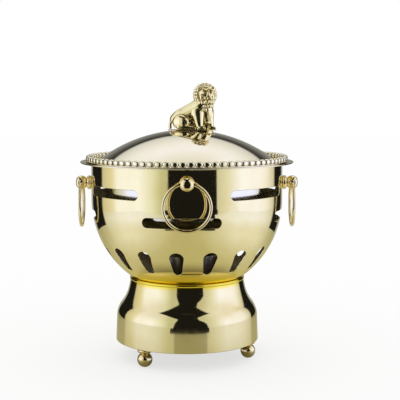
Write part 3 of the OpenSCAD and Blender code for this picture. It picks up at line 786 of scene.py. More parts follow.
def petal_slot(drawn, middle, turn):
    """Outline of a petal, let out by an amount: a large and a small round end, cast square onto the bowl."""
    s = bpy.context.scene.stove_sizes
    radius, tall, head, foot = in_mm("bowl_radius", "petal_length", "petal_head", "petal_foot")

    def outline(grow):
        arc = np.linspace(0, math.pi, 19)
        run = np.linspace(0, 1, 12)[1:-1, None]
        big, small = head / 2 + grow, foot / 2 + grow
        top = np.stack([big * np.cos(arc), (tall - head) / 2 + big * np.sin(arc)], 1)
        low = np.stack([-small * np.cos(arc), (foot - tall) / 2 - small * np.sin(arc)], 1)
        left = top[-1] + run * (low[0] - top[-1])
        right = low[-1] + run * (top[0] - low[-1])
        flat = np.concatenate([top, left, low, right])
        deep = np.sqrt(radius**2 - (flat**2).sum(1))
        out = deep * math.cos(s.petal_dip) + flat[:, 1] * math.sin(s.petal_dip)
        level = middle - deep * math.sin(s.petal_dip) + flat[:, 1] * math.cos(s.petal_dip)
        return drawn(turn + np.arctan2(flat[:, 0], out), level)

    return outline


# Drop below the rim in millimetres, and turns from the front in degrees, of the two rows of long slots
SLOT_ROWS = (
    (44.0, (-3.2, 86.8, 176.8, 266.8)),
    (22.2, (-51.7, 48.3, 128.3, 228.3)),
)
# Spacing of the sheet's points and rounding of the slots' edges, in millimetres
SHEET_GRID = 2.5
SLOT_EDGE = 0.35


class STOVE_OT_base(bpy.types.Operator):
    """Turn the ogee base with its rolled lip"""

    bl_idname = "stove.base"
    bl_label = "Base"

    def execute(self, context):
        built("base_shell", lathe(base_section(), 256), "shell", "stove", "gold_shell", "base_skirt")
        return {"FINISHED"}


class STOVE_OT_feet(bpy.types.Operator):
    """Turn the three feet: a ball under a round-edged collar, with a stud into the base"""

    bl_idname = "stove.feet"
    bl_label = "Feet"

    def execute(self, context):
        size, disc, top = in_mm("foot_ball", "foot_collar", "base_edge")
        flat, half, stud, stud_top = 0.25, 1.9, 2.0, top + 4.8
        r = size / 2
        mid = r - flat
        under = top - 2 * half
        rim = disc / 2 - half
        low, sole = circle_at(r, -mid)
        high, neck = circle_at(r, under - mid)
        runs = [
            straight([0, 0], [sole, 0]),
            bend([0, mid], r, low, high, 24),
            straight([neck, under], [rim, under]),
            bend([rim, top - half], half, -90, 90, 14),
            straight([rim, top], [stud, top]),
            straight([stud, top], [stud, stud_top]),
            straight([stud, stud_top], [0, stud_top]),
        ]
        shape = lathe(runs, 64, closed=False)
        for name in ("foot_left", "foot_right", "foot_back"):
            foot = moved(shape, np.eye(3), middle_of(name) * [1.0, 1.0, 0.0])
            built("turned_" + name, foot, "fitting", "stove", "gold_fittings", name)
        return {"FINISHED"}


class STOVE_OT_bowl(bpy.types.Operator):
    """Form the bowl's sheet and pierce its long slots and petals"""

    bl_idname = "stove.bowl"
    bl_label = "Stove bowl"

    def execute(self, context):
        s = context.scene.stove_sizes
        chart, drawn, width, height, middle = bowl_chart()
        rim, wall = in_mm("bowl_rim", "sheet")
        holes = [long_slot(drawn, middle, turn, rim - drop) for drop, turns in SLOT_ROWS for turn in turns]
        step = TAU / s.petal_count
        holes += [petal_slot(drawn, middle, s.petal_turn + k * step) for k in range(s.petal_count)]
        shape = pierced_wall(width, height, SHEET_GRID, holes, chart, wall, SLOT_EDGE)
        piece = built("bowl_shell", shape, "shell", "stove", "gold_shell", "stove_bowl")
        counts = [len(f) for f in shape[1]]
        inner = [k in (1, len(counts) - 1) for k in range(len(counts))]
        # The inside faces take the dark steel, painted shade of the cavity
        coated(piece, ["inside_shade"], np.repeat(inner, counts))
        return {"FINISHED"}


class STOVE_OT_pulls(bpy.types.Operator):
    """Turn the four knob balls, their collars and the rings that hang in them"""

    bl_idname = "stove.pulls"
    bl_label = "Knobs and rings"

    def execute(self, context):
        wall, size, reach, disc, tall, mean, wire, hole = in_mm(
            "bowl_radius", "ball_size", "ball_reach", "collar_size", "collar_length",
            "ring_radius", "ring_wire", "ring_hole")
        r, half, bore = size / 2, tall / 2, hole / 2
        soft, pin_radius, pin_length, pin_root, press = 0.5, 2.0, 5.0, 4.2, 1.0
        rim = disc / 2 - half
        edge = bend([rim, half], half, -90, 90, 14)
        collar = lathe([straight([0, 0], [rim, 0]), edge, straight([rim, tall], [0, tall])], 64, closed=False)
        mouth = math.sqrt((r - soft) ** 2 - (bore + soft) ** 2)
        lip = heading([bore + soft, mouth])
        knob = lathe([
            bend([0, 0], r, -lip, lip, 28),
            bend([bore + soft, mouth], soft, lip, 180, 6),
            straight([bore, mouth], [bore, -mouth]),
            bend([bore + soft, -mouth], soft, 180, 360 - lip, 6),
        ], 56)
        pin = lathe([
            straight([0, 0], [pin_radius, 0]),
            straight([pin_radius, 0], [pin_radius, pin_length]),
            straight([pin_radius, pin_length], [0, pin_length]),
        ], 24, closed=False)
        ring = lathe([bend([mean, 0], wire / 2, 0, 360, 20)], 112)
        for k, name in enumerate(SIDES):
            across, up, out = side_axes(90 * k)
            level = middle_of("knob_" + name)[2] * up
            middle = reach * out + level
            verts, faces, norms = pressed(moved(knob, [up, out, across], middle), middle, out, r, press)
            sunk = np.clip(wall + tall - verts @ out, 0, None)
            bead = (verts + sunk[:, None] * out, faces, norms)
            root = moved(pin, [across, up, out], (wall - pin_root) * out + level)
            hang = reach * out + middle_of("ring_" + name)[2] * up
            for style, node, body, shape in (
                ("turned_", "collar_", "stove", moved(collar, [across, up, out], wall * out + level)),
                ("turned_", "knob_", "stove", joined([bead, root])),
                ("wire_", "ring_", "ring_" + name, moved(ring, [up, across, -out], hang)),
            ):
                built(style + node + name, shape, "fitting", body, "gold_fittings", node + name)
        return {"FINISHED"}


class STOVE_OT_pot(bpy.types.Operator):
    """Turn the silver inner pot with its thin wide flange"""

    bl_idname = "stove.pot"
    bl_label = "Inner pot"

    def execute(self, context):
        r, wall, corner, edge = in_mm("pot_radius", "pot_sheet", "pot_corner", "flange_radius")
        low, top = foot_of("inner_pot"), top_of("inner_pot")
        half = (top - in_mm("bowl_rim")[0]) / 2
        under = top - 2 * half
        hub = [r - corner, low + corner]
        runs = [
            straight([0, low], [r - corner, low], 2),
            bend(hub, corner, -90, 0, 16),
            straight([r, low + corner], [r, under], 2),
            straight([r, under], [edge - half, under]),
            bend([edge - half, top - half], half, -90, 90, 8),
            straight([edge - half, top], [r - wall, top]),
            straight([r - wall, top], [r - wall, low + corner], 2),
            bend(hub, corner - wall, 0, -90, 16),
            straight([r - corner, low + wall], [0, low + wall], 2),
        ]
        around = 224
        piece = built("turned_pot", lathe(runs, around, closed=False), "pot", "pot", "pot_steel", "inner_pot")
        # Brown bottom and lower half of the corner, silver wall, gold flange, silver inside; fans come last
        half_corner, fan = 8, 1
        rows = [sum(len(run) - 1 for run in part) for part in (runs[:2], runs[2:3], runs[3:6], runs[6:])]
        rows = np.array(rows) + [-half_corner - fan, half_corner, 0, -fan]
        coat = np.repeat([1, 0, 2, 0], around * rows)
        coated(piece, ["straw", "rim"], np.concatenate([coat, np.repeat([1, 0], around)]))
        return {"FINISHED"}


class STOVE_OT_lid(bpy.types.Operator):
    """Turn the domed lid with its flat brim and the cove between them"""

    bl_idname = "stove.lid"
    bl_label = "Lid"

    def execute(self, context):
        r, top, brim, cove = in_mm("dome_radius", "dome_top", "brim_radius", "lid_cove")
        wall = 0.8
        low = foot_of("lid_dome")
        half = wall / 2
        hub = np.array([0.0, top - r])
        cove_z = low + wall + cove
        cove_hub = np.array([math.sqrt((r + cove) ** 2 - (cove_z - hub[1]) ** 2), cove_z])
        meets = heading(cove_hub - hub)
        under, inner = circle_at(r - wall, low - hub[1])
        runs = [
            bend(hub, r - wall, 90, under, 30),
            straight([inner, low], [brim - half, low]),
            bend([brim - half, low + half], half, -90, 90, 8),
            straight([brim - half, low + wall], [cove_hub[0], low + wall]),
            bend(cove_hub, cove, -90, meets - 180, 10),
            bend(hub, r, meets, 90, 44),
        ]
        runs[0][0, 0] = 0.0
        runs[-1][-1, 0] = 0.0
        built("turned_lid", lathe(runs, 256, closed=False), "lid", "lid", "gold_lid", "lid_dome")
        return {"FINISHED"}


class STOVE_OT_beads(bpy.types.Operator):
    """Set the border of small balls on the lid's brim"""

    bl_idname = "stove.beads"
    bl_label = "Bead border"

    def execute(self, context):
        size, circle = in_mm("bead_size", "bead_circle")
        floor, top = foot_of("bead_border"), top_of("bead_border")
        r = size / 2
        press, stretch = 0.6, [1.0, 1.2, 0.88]
        low, sole = circle_at(r, floor - top + r)
        runs = [straight([0, floor], [sole, floor]), bend([0, top - r], r, low, 90, 14)]
        runs[-1][-1, 0] = 0.0
        x, z = np.eye(3)[[0, 2]]
        one = squashed(pressed(lathe(runs, 28, closed=False), (top - r) * z, x, r, press), floor, stretch)
        row = []
        for a in np.linspace(0.0, TAU, context.scene.stove_sizes.bead_count, endpoint=False):
            out = np.array([math.cos(a), math.sin(a), 0.0])
            row.append(moved(one, [out, np.cross(z, out), z], circle * out))
        built("ball_border", joined(row), "rim", "lid", "gold_lid", "bead_border")
        return {"FINISHED"}


def neighbour_mean(values, edges):
    """Mean of each point's neighbours along the mesh's edges."""
    total = np.zeros_like(values)
    count = np.zeros(len(values))
    for a, b in (edges.T, edges.T[::-1]):
        np.add.at(total, a, values[b])
        np.add.at(count, a, 1.0)
    return total / count.reshape((-1,) + (1,) * (values.ndim - 1))


def values_of(parts, label, size, kind=np.float32):
    """One value of each vertex or edge of a mesh, as the rows of an array."""
    rows = np.empty(size * len(parts), kind)
    parts.foreach_get(label, rows)
    return rows.reshape(-1, size)


LION_HEAD = np.array([15.7, 0.0, 29.8])
LION_YAW = 15.0
LION_THIGH_TURN = -24.0
LION_VOXEL = 0.34
LION_SMOOTHING = (0.55, -0.57, 0.55, -0.57, 0.55)
# How strongly a hollow takes painted shade, how deep one has to be for it, and the most that it takes
LION_HOLLOW_SHADE = (40.0, 0.16, 0.92)
LION_BLUR_STEPS = 3
LION_BLUR = 0.6
# Rows of curls round the head: angle from ahead in degrees, number, size, distance from the head's middle
LION_CURLS = (
    (64, 17, 1.7, 8.7), (82, 20, 1.6, 9.1), (102, 20, 1.6, 9.1), (124, 17, 1.55, 8.8), (150, 10, 1.5, 8.5),
)
# Rows of locks on the chest: level, radius, number
LION_LOCKS = ((23.6, 8.3, 14), (20.4, 7.7, 12), (17.4, 6.6, 10))
BOX_GAP = 0.00005


def lion_axes():
    """Right, ahead and up axes of the lion's head, which is turned to the front."""
    right, up, ahead = side_axes(LION_YAW)
    return np.array([right, ahead, up])


def face_shade_marks(points, top):
    """Painted shade of the face from 0 to 1: soft dark spots at the brow, eyes, nose and mouth."""
    place = (points - LION_HEAD - [0.0, 0.0, top]) @ lion_axes().T
    spots = [(x, 9.6, 3.3, 0.9) for x in (-3.2, -1.8, 1.8, 3.2)]
    spots += [(-2.8, 9.6, 1.9, 0.8), (2.8, 9.6, 1.9, 0.8), (0.0, 12.0, -1.4, 1.0)]
    spots += [(-1.5, 10.8, -4.2, 0.8), (0.0, 11.2, -3.9, 0.8), (1.5, 10.8, -4.2, 0.8)]
    mark = np.zeros(len(points))
    for x, y, z, reach in spots:
        mark = np.maximum(mark, np.exp(-((place - [x, y, z]) ** 2).sum(1) / reach**2 * 0.7))
    return mark


def lion_forms(top):
    """The sitting lion as overlapping ovals and limbs, its head turned to the front, above the plinth."""
    limbs = [
        [(-10.4, 2.4, 4.4, 5.6, 4.4), (-9.2, 2.4, 7.2, 6.4, 6.6), (-5.0, 2.0, 10.0, 6.6, 7.7),
         (0.5, 1.0, 13.2, 6.6, 7.6), (6.5, -0.4, 16.6, 6.8, 7.5), (11.5, -1.4, 20.0, 7.2, 7.6),
         (14.8, -0.6, 25.5, 7.2, 7.2)],
        [(17.0, 1.6, 4.0, 4.6, 4.4), (17.3, 0.9, 10.5, 5.6, 5.4), (16.6, -0.8, 17.0, 6.2, 6.2),
         (15.8, -1.2, 22.5, 7.0, 6.8)],
        [(10.2, -3.2, 21.0, 4.0, 5.6), (9.2, -4.4, 15.5, 4.0, 6.0), (9.8, -5.2, 10.0, 3.4, 4.8),
         (10.6, -5.7, 4.6, 2.7, 3.5), (11.2, -6.0, 0.4, 2.5, 2.8)],
        [(9.8, -6.0, 1.5, 2.4, 1.8), (12.0, -6.2, 1.8, 2.7, 1.9), (15.2, -6.5, 1.3, 2.5, 1.4)],
        [(18.6, -0.6, 19.0, 3.8, 4.6), (19.2, 0.0, 13.0, 3.6, 4.4), (20.0, 0.6, 7.5, 2.8, 3.3),
         (20.6, 1.0, 3.4, 2.4, 2.7), (20.9, 1.2, 0.4, 2.4, 2.3)],
        [(19.2, 1.2, 1.5, 2.3, 1.6), (21.4, 1.0, 1.7, 2.5, 1.7), (24.6, 0.7, 1.2, 2.2, 1.3)],
        [(-12.0, 1.2, 10.0, 1.0, 1.0), (-13.8, 1.4, 7.0, 1.2, 1.2), (-14.6, 1.6, 3.4, 1.3, 1.3),
         (-14.3, 1.8, 0.2, 1.6, 1.5)],
    ]
    for y in (-1.0, 1.0):
        limbs.append([(-9.0, 5.4 * y, 2.6, 2.3, 2.4), (-3.5, 6.0 * y, 2.2, 2.4, 2.1),
                      (3.0, 6.5 * y, 1.8, 2.3, 1.8), (8.6, 6.8 * y, 1.1, 2.2, 1.2)])
    forms = [limb(rows) for rows in limbs]
    across, up, out = side_axes(LION_THIGH_TURN)
    forms += [ball([-5.2, 4.5 * y, 6.6], [8.0, 4.2, 6.4], [across, -out, up]) for y in (-1.0, 1.0)]
    forms += [ball([4.0, 2.2, 5.6], [10.0, 4.6, 7.0]), ball([8.6, -3.6, 15.8], [4.8, 3.8, 6.4])]
    forms.append(ball([16.2, 1.8, 2.6], [5.4, 3.4, 4.6]))
    for x, y, z in ((14.8, -6.5, 1.2), (24.2, 0.7, 1.1), (8.2, -6.8, 1.0), (8.2, 6.8, 1.0)):
        forms += [ball([x, y + k, z], [1.5, 0.85, 1.0]) for k in (-1.4, 0.0, 1.4)]

    axes = lion_axes()
    right, ahead, up = axes
    head = [
        ([0, 0, 0], [9.2, 8.2, 9.6]), ([0, 4.8, -0.8], [6.9, 4.4, 7.6]), ([0, 6.6, 5.0], [4.6, 2.4, 2.8]),
        ([0, 8.4, -5.2], [2.7, 2.2, 1.5]), ([0, 11.0, -0.9], [1.9, 1.1, 1.1]),
    ]
    for k in (-1.0, 1.0):
        head += [
            ([1.75 * k, 9.8, -2.5], [2.2, 2.0, 1.7]), ([4.6 * k, 6.6, -1.8], [2.2, 2.0, 3.2]),
            ([3.1 * k, 8.9, 4.5], [2.9, 1.4, 1.0]), ([2.8 * k, 8.7, 2.1], [1.25, 1.0, 1.0]),
            ([6.4 * k, 4.4, 5.4], [1.7, 1.1, 1.9]),
        ]
    forms += [ball(LION_HEAD + place @ axes, size, axes) for place, size in head]
    nose = ([0, 8.2, 4.6, 1.5, 1.2], [0, 9.8, 1.8, 1.4, 1.3], [0, 10.8, -1.0, 1.8, 1.2])
    forms.append(limb([(*(LION_HEAD + row[:3] @ axes), *row[3:]) for row in nose], right))
    for off, count, size, lift in LION_CURLS:
        turn = (np.arange(count) + 0.5 * (off % 4 > 1)) * TAU / count
        flat = np.outer(np.cos(turn), right) + np.outer(np.sin(turn), up)
        swirl = np.outer(-np.sin(turn), right) + np.outer(np.cos(turn), up)
        ways = math.cos(math.radians(off)) * ahead + math.sin(math.radians(off)) * flat
        for d, w in zip(ways, swirl):
            forms.append(ball(LION_HEAD + lift * d, size, around=10, along=6))
            forms.append(ball(LION_HEAD + (lift + 0.85) * d + 0.55 * w, 0.5 * size, around=8, along=5))
    for z, r, count in LION_LOCKS:
        turn = np.radians(np.linspace(-125, 95, count)) + 0.1 * (z % 2)
        for d in np.stack([np.sin(turn), -np.cos(turn), 0 * turn], 1):
            forms.append(ball(np.array([15.2, -0.8, z]) + r * 0.86 * d, 1.6, around=10, along=6))
            forms.append(ball(np.array([15.4, -0.8, z - 0.7]) + r * 0.99 * d, 0.8, around=8, along=5))
    return [(verts + [0.0, 0.0, top], faces, norms) for verts, faces, norms in forms]


class STOVE_OT_finial(bpy.types.Operator):
    """Cast the lion: forms merged into one skin, smoothed, with its hollows marked for painted shade"""

    bl_idname = "stove.finial"
    bl_label = "Lion finial"

    def execute(self, context):
        top = foot_of("lion_finial")
        rough = lay_mesh("lion_rough", joined(lion_forms(top)))
        skin = rough.modifiers.new("skin", "REMESH")
        skin.mode = "VOXEL"
        skin.voxel_size = LION_VOXEL * MM
        graph = context.evaluated_depsgraph_get()
        mesh = bpy.data.meshes.new_from_object(rough.evaluated_get(graph))
        bpy.data.objects.remove(rough)
        co = values_of(mesh.vertices, "co", 3).astype(float)
        edges = values_of(mesh.edges, "vertices", 2, np.int32)
        for step in LION_SMOOTHING:
            co += step * (neighbour_mean(co, edges) - co)
        co[:, 2] = np.clip(co[:, 2], None, CAD_BOX[1].z - BOX_GAP)
        mesh.vertices.foreach_set("co", co.astype(np.float32).ravel())
        mesh.polygons.foreach_set("use_smooth", np.ones(len(mesh.polygons), bool))
        mesh.update()
        norm = values_of(mesh.vertices, "normal", 3)
        hollow = np.einsum("ij,ij->i", neighbour_mean(co, edges) - co, norm) / MM
        for _ in range(LION_BLUR_STEPS):
            hollow = (1 - LION_BLUR) * hollow + LION_BLUR * neighbour_mean(hollow, edges)
        # Painted shade: the lion's hollows and the spots of its face take dark gold
        gain, start, most = LION_HOLLOW_SHADE
        hollow = np.maximum(np.clip(gain * hollow - start, 0, most), face_shade_marks(co / MM, top))
        mark = mesh.attributes.new("crease", "FLOAT", "POINT")
        mark.data.foreach_set("value", hollow.astype(np.float32))
        mesh.name = "cast_lion"
        piece = bpy.data.objects.new("cast_lion", mesh)
        context.scene.collection.objects.link(piece)
        fitted(piece, finish_of("lion"), "lid", "gold_finial", "lion_finial")
        built("lion_foot_plate", plinth_plate(top), "lion", "lid", "gold_finial", "lion_plinth")
        return {"FINISHED"}


def plinth_plate(top):
    """Thin plate with round ends and a soft edge, on a narrower foot let down onto the dome.

    Rings of points at even distances from the plate's middle line, stacked from the dome to the flat top.
    """
    tall, wide, shift = in_mm("plinth_length", "plinth_width", "plinth_shift")
    r, crown = in_mm("dome_radius", "dome_top")
    inset, soft, sunk, round_end = 2.6, 0.3, 0.1, 33
    half = wide / 2
    run = tall / 2 - half
    arc = np.linspace(-math.pi / 2, math.pi / 2, round_end)
    ray = np.stack([np.cos(arc), np.sin(arc)], 1)
    ray = np.concatenate([ray, -ray])
    hub = np.repeat([[shift + run, 0.0], [shift - run, 0.0]], round_end, 0)
    k = np.arange(len(ray))
    side = np.column_stack([ray, 0.0 * k])
    up = 0.0 * side + [0.0, 0.0, 1.0]
    outer = hub + (half - inset) * ray
    dome = crown - r + np.sqrt(r * r - (outer**2).sum(1)) - sunk
    rings = [np.column_stack([outer, level]) for level in (dome, np.maximum(dome + sunk / 2, top - 2 * soft))]
    facing = [side, side - up]
    for a in np.radians([-90, -45, 0, 45, 90]):
        edge = hub + (half - soft + soft * math.cos(a)) * ray
        rings.append(np.column_stack([edge, 0.0 * k + top - soft + soft * math.sin(a)]))
        facing.append(math.cos(a) * side + math.sin(a) * up)
    rows = [len(k) * i + k for i in range(len(rings))]
    middle = len(k) * len(rings)
    faces = [belt(a, b) for a, b in zip(rows[:-1], rows[1:])]
    faces += [np.stack([rows[-1], np.roll(rows[-1], -1), 0 * k + middle], 1)]
    faces += [np.stack([np.roll(k, -1), k, 0 * k + middle + 1], 1)]
    norms = [belt(a, b) for a, b in zip(facing[:-1], facing[1:])]
    norms += [np.tile([0.0, 0.0, z], (len(k), 3, 1)) for z in (1.0, -1.0)]
    return np.concatenate(rings + [[[shift, 0.0, top], [shift, 0.0, dome.min()]]]), faces, norms


class STOVE_OT_hidden_steel(bpy.types.Operator):
    """Finish the burner, plates, nuts and bolts, whose CAD shapes stay"""

    bl_idname = "stove.hidden_steel"
    bl_label = "Burner and fasteners"

    def execute(self, context):
        for name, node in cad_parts.items():
            if node.hide_render:
                continue
            steel = finish_of("burner" if name.startswith("burner") else "bolt")
            if node.material_slots:
                for slot in node.material_slots:
                    slot.material = steel
            else:
                node.data.materials.append(steel)
        return {"FINISHED"}


NIGHT = (0.012, 0.012, 0.012)
GREY = (0.27, 0.27, 0.25)
WHITE = (1.0, 1.0, 1.0, 1.0)
# Soft boxes that the metal mirrors, low and high: turn from the front in degrees, colour
LOW_RING = [
    (-180, GREY), (-153, NIGHT), (-122, NIGHT), (-119, (0.70, 0.67, 0.52)), (-100, (0.92, 0.90, 0.80)),
    (-90, (1.14, 1.20, 1.6)), (-60, (1.17, 1.24, 1.7)), (-42, (0.95, 1.0, 1.05)), (-30, (0.67, 0.69, 0.51)),
    (-23, (0.64, 0.64, 0.55)), (33, (0.70, 0.71, 0.68)), (47, (0.90, 0.91, 0.90)), (67, (1.17, 1.26, 1.9)),
    (99, (1.15, 1.20, 1.75)), (110, (1.05, 1.1, 1.4)), (126, (0.72, 0.70, 0.66)), (129, NIGHT), (153, NIGHT),
    (180, GREY),
]
HIGH_RING = [
    (-180, (1.0, 1.0, 1.0)), (-124, (0.85, 0.85, 0.82)), (-108, (0.86, 0.88, 0.88)), (-90, (1.0, 1.0, 1.2)),
    (-70, (0.95, 0.96, 1.1)), (-47, (0.86, 0.88, 0.88)), (-32, (0.66, 0.67, 0.55)), (28, (0.66, 0.67, 0.55)),
    (48, (0.86, 0.88, 0.88)), (68, (0.96, 0.98, 1.1)), (95, (1.0, 1.0, 1.2)), (112, (0.92, 0.93, 0.95)),
    (180, (1.0, 1.0, 1.0)),
]
# Dark gap between the front soft boxes: elevation, reach to the left and reach to the right in degrees
FRONT_GAP = [
    (-12, 28.5, 36.5), (-8.4, 28, 36.5), (-7.7, 22.5, 35.5), (-3, 22, 34.5), (4, 21, 32.5), (12, 20.5, 32),
    (22, 19, 28), (32, 17, 21), (50, 17, 20),
]
# Wall behind the stove: elevation in degrees, colour
BACK_RISE = [
    (-90, (0.55, 0.52, 0.45)), (-4, (0.50, 0.50, 0.48)), (3, (0.30, 0.30, 0.28)),
    (12, (0.25, 0.25, 0.23)), (18, (0.15, 0.15, 0.14)), (24, (0.06, 0.06, 0.055)), (27, (0.03, 0.03, 0.03)),
    (30, (0.70, 0.70, 0.66)), (33, (0.78, 0.78, 0.75)), (38, (0.87, 0.87, 0.84)), (44, (0.96, 0.97, 0.96)),
    (50, (1.03, 1.04, 1.08)), (56, (1.04, 1.05, 1.10)), (61, (1.01, 1.01, 1.02)), (66, (0.96, 0.96, 0.92)),
    (72, (0.90, 0.91, 0.83)), (90, (0.88, 0.88, 0.84)),
]
# Where one part of the studio goes over into the next: turns at which the wall behind takes over from the low
# and from the high boxes, and at which the front ends; rises of the sharp and slow change from low to high
BACK_LOW = (153, 158)
BACK_HIGH = (105, 138)
FRONT_END = (112, 96)
RISE_SHARP = (27.5, 30.5)
RISE_SLOW = (8, 44)
CEILING_EDGE = (71, 80)
CEILING = (0.95, 0.95, 0.92, 1.0)
GAP_EDGE = (-0.8, 0.8)
ROOF_EDGE = (-0.03, 0.03)
ROOF_TURN = math.radians(15)
ROOF_STEEP = 1.36
ROOF_STEEPER = 0.3


def studio_world():
    """White studio: the camera sees white, even light falls on the floor, and metal mirrors soft boxes."""
    world = bpy.data.worlds.new("white_studio")
    bpy.context.scene.world = world
    world.use_nodes = True
    world.cycles.sampling_method = "NONE"
    tree = world.node_tree
    x, y, z = axes_of(tree, "Generated")
    turn = turn_of(tree, x, y)
    degrees = calc(tree, "MULTIPLY_ADD", turn, 360.0, -180.0)
    behind = calc(tree, "ABSOLUTE", degrees)
    rise = calc(tree, "MULTIPLY", calc(tree, "ARCSINE", z), 180 / math.pi)
    height = calc(tree, "MULTIPLY_ADD", rise, 1 / 180, 0.5)

    low, high = (ramp_of(tree, turn, ring, 180) for ring in (LOW_RING, HIGH_RING))
    back_sky = ramp_of(tree, height, BACK_RISE, 90)
    low = faded(tree, behind, *BACK_LOW, low, back_sky)

    # Dark roof above the high boxes: its edges lie in planes turned to the front, steeper on the right
    ahead = calc(tree, "MULTIPLY", calc(tree, "MINIMUM", y, 0.0), -math.sin(ROOF_TURN))
    panel = calc(tree, "MULTIPLY_ADD", calc(tree, "ABSOLUTE", x), math.cos(ROOF_TURN), ahead)
    steep = calc(tree, "MULTIPLY_ADD", calc(tree, "GREATER_THAN", x, 0.0), ROOF_STEEPER, ROOF_STEEP)
    over = calc(tree, "SUBTRACT", z, calc(tree, "MULTIPLY", panel, steep))
    high = faded(tree, over, *ROOF_EDGE, high, (*NIGHT, 1.0))
    high = faded(tree, behind, *BACK_HIGH, high, back_sky)

    # Low boxes go over into the high ones slowly at the front and sharply behind
    sharp = spread(tree, rise, *RISE_SHARP)
    slow = calc(tree, "SUBTRACT", spread(tree, rise, *RISE_SLOW), sharp)
    sky = mixed(tree, calc(tree, "MULTIPLY_ADD", slow, spread(tree, behind, *FRONT_END), sharp), low, high)

    stops = [(at, (left / 90, right / 90, 0.0)) for at, left, right in FRONT_GAP]
    gap = add(tree, "SeparateColor", {0: ramp_of(tree, height, stops, 90)}).outputs
    past_left = calc(tree, "MULTIPLY_ADD", gap[0], -90.0, calc(tree, "MULTIPLY", degrees, -1.0))
    past_right = calc(tree, "MULTIPLY_ADD", gap[1], -90.0, degrees)
    past = calc(tree, "MAXIMUM", past_left, past_right)
    sky = faded(tree, past, *GAP_EDGE, (*NIGHT, 1.0), sky)
    sky = faded(tree, rise, *CEILING_EDGE, sky, CEILING)

    light = add(tree, "LightPath").outputs
    seen = mixed(tree, light["Is Glossy Ray"], WHITE, sky)
    white = calc(tree, "MAXIMUM", light["Is Camera Ray"], light["Is Transmission Ray"])
    feed(tree, tree.nodes["Background"], {"Color": mixed(tree, white, seen, WHITE)})


# Outline of the mirrored table in metres
TABLE_EDGE = [
    (-0.117, -0.253), (-0.060, -0.273), (0.0, -0.280), (0.075, -0.268), (0.148, -0.236), (0.330, -0.554),
    (0.750, -0.500), (0.750, 0.460), (0.340, 0.150), (0.270, 0.330), (0.200, 0.450), (0.200, 0.800),
    (-0.240, 0.800), (-0.240, 0.450), (-0.300, 0.330), (-0.383, 0.138), (-0.750, 0.360), (-0.750, -0.500),
    (-0.223, -0.597),
]
# Light that the soft boxes throw on the table: turn from the front in degrees, share
TABLE_GLOW = [
    (-180, 0.0), (-130, 0.0), (-110, 0.3), (-90, 0.68), (-75, 0.92), (-62, 0.95), (-36, 0.5), (-15, 0.12),
    (0, 0.05), (20, 0.18), (42, 0.65), (58, 0.95), (77, 1.0), (92, 0.88), (105, 0.55), (120, 0.24),
    (135, 0.0), (180, 0.0),
]
# Painted light of the table: gold bounce of the stove near it, soft-box light further out, and the stove's
# shadow under it
TABLE_GOLD_BOUNCE = (0.60, 0.57, 0.34, 1.0)
TABLE_PALE = (0.98, 1.0, 1.05, 1.0)
TABLE_BRIGHT = (1.12, 1.20, 1.65, 1.0)
TABLE_SHADE = (0.13, 0.11, 0.045, 1.0)
# Distances from the axis, in metres, over which the painted gold bounce goes over into pale and bright, and
# the painted shadow under the stove into the gold bounce
TABLE_NEAR = (0.06, 0.26)
TABLE_FAR = (0.26, 0.52)
TABLE_UNDER = (0.045, 0.105)
TABLE_IOR = 1.45
TABLE_ROUGH = 0.1
TABLE_LEVEL = -0.0004
FLOOR_EDGE = [(-4, -4), (4, -4), (4, 4), (-4, 4)]
FLOOR_LEVEL = -0.0002
PAPER = (0.97, 0.97, 0.97, 1.0)
PAPER_EVEN = 0.68
# The camera's place in metres and its downward and sideways turn; its focal length in pixels of the image
EYE = (0.0, -0.9242, 0.2370)
EYE_PITCH = math.radians(6.125)
EYE_YAW = math.radians(0.706)
IMAGE_WIDTH = 400.0
FOCAL_PIXELS = 1063.17
SENSOR = 36.0


def stage_sheet(name, outline, level, finish):
    """Flat sheet of the stage inside an outline, in metres."""
    mesh = bpy.data.meshes.new(name)
    mesh.from_pydata([(x, y, level) for x, y in outline], [], [range(len(outline))])
    mesh.materials.append(finish)
    sheet = bpy.data.objects.new(name, mesh)
    bpy.context.scene.collection.objects.link(sheet)
    return sheet


def end_in_two(tree, factor, first, second):
    """Ends a material in a mix of two shaders, the second where factor is 1."""
    both = add(tree, "MixShader", {0: factor, 1: first.outputs[0], 2: second.outputs[0]})
    feed(tree, tree.nodes["Material Output"], {"Surface": both.outputs[0]})


def white_paper():
    """Matt white paper that the camera sees partly as an even white, so that only a soft shadow shows."""
    paper, tree = new_material("white_paper")
    matt = {"Base Color": PAPER, "Roughness": 1.0, "Specular IOR Level": 0.0}
    sheet = feed(tree, tree.nodes["Principled BSDF"], matt)
    even = calc(tree, "MULTIPLY", add(tree, "LightPath").outputs["Is Camera Ray"], PAPER_EVEN)
    end_in_two(tree, even, sheet, add(tree, "Emission"))
    return paper


def table_board():
    """Glossy table that only the metal sees, glowing with painted light: a straw gold bounce near the stove,
    a shadow under it, pale further out, a mirror at a slant.
    """
    board, tree = new_material("table_board")
    x, y, _ = axes_of(tree)
    away = calc(tree, "SQRT", calc(tree, "MULTIPLY_ADD", y, y, calc(tree, "MULTIPLY", x, x)))
    glow = ramp_of(tree, turn_of(tree, x, y), TABLE_GLOW, 180)
    near = calc(tree, "MULTIPLY", glow, spread(tree, away, *TABLE_NEAR))
    far = calc(tree, "MULTIPLY", glow, spread(tree, away, *TABLE_FAR))
    colour = mixed(tree, near, TABLE_GOLD_BOUNCE, TABLE_PALE)
    colour = mixed(tree, far, colour, TABLE_BRIGHT)
    colour = faded(tree, away, *TABLE_UNDER, TABLE_SHADE, colour)
    slant = add(tree, "Fresnel", {"IOR": TABLE_IOR}).outputs[0]
    # The table's emission is painted light: it stands for the lit table in the metal's reflections
    shine = add(tree, "Emission", {"Color": colour})
    end_in_two(tree, slant, shine, add(tree, "BsdfGlossy", {"Roughness": TABLE_ROUGH}))
    return board


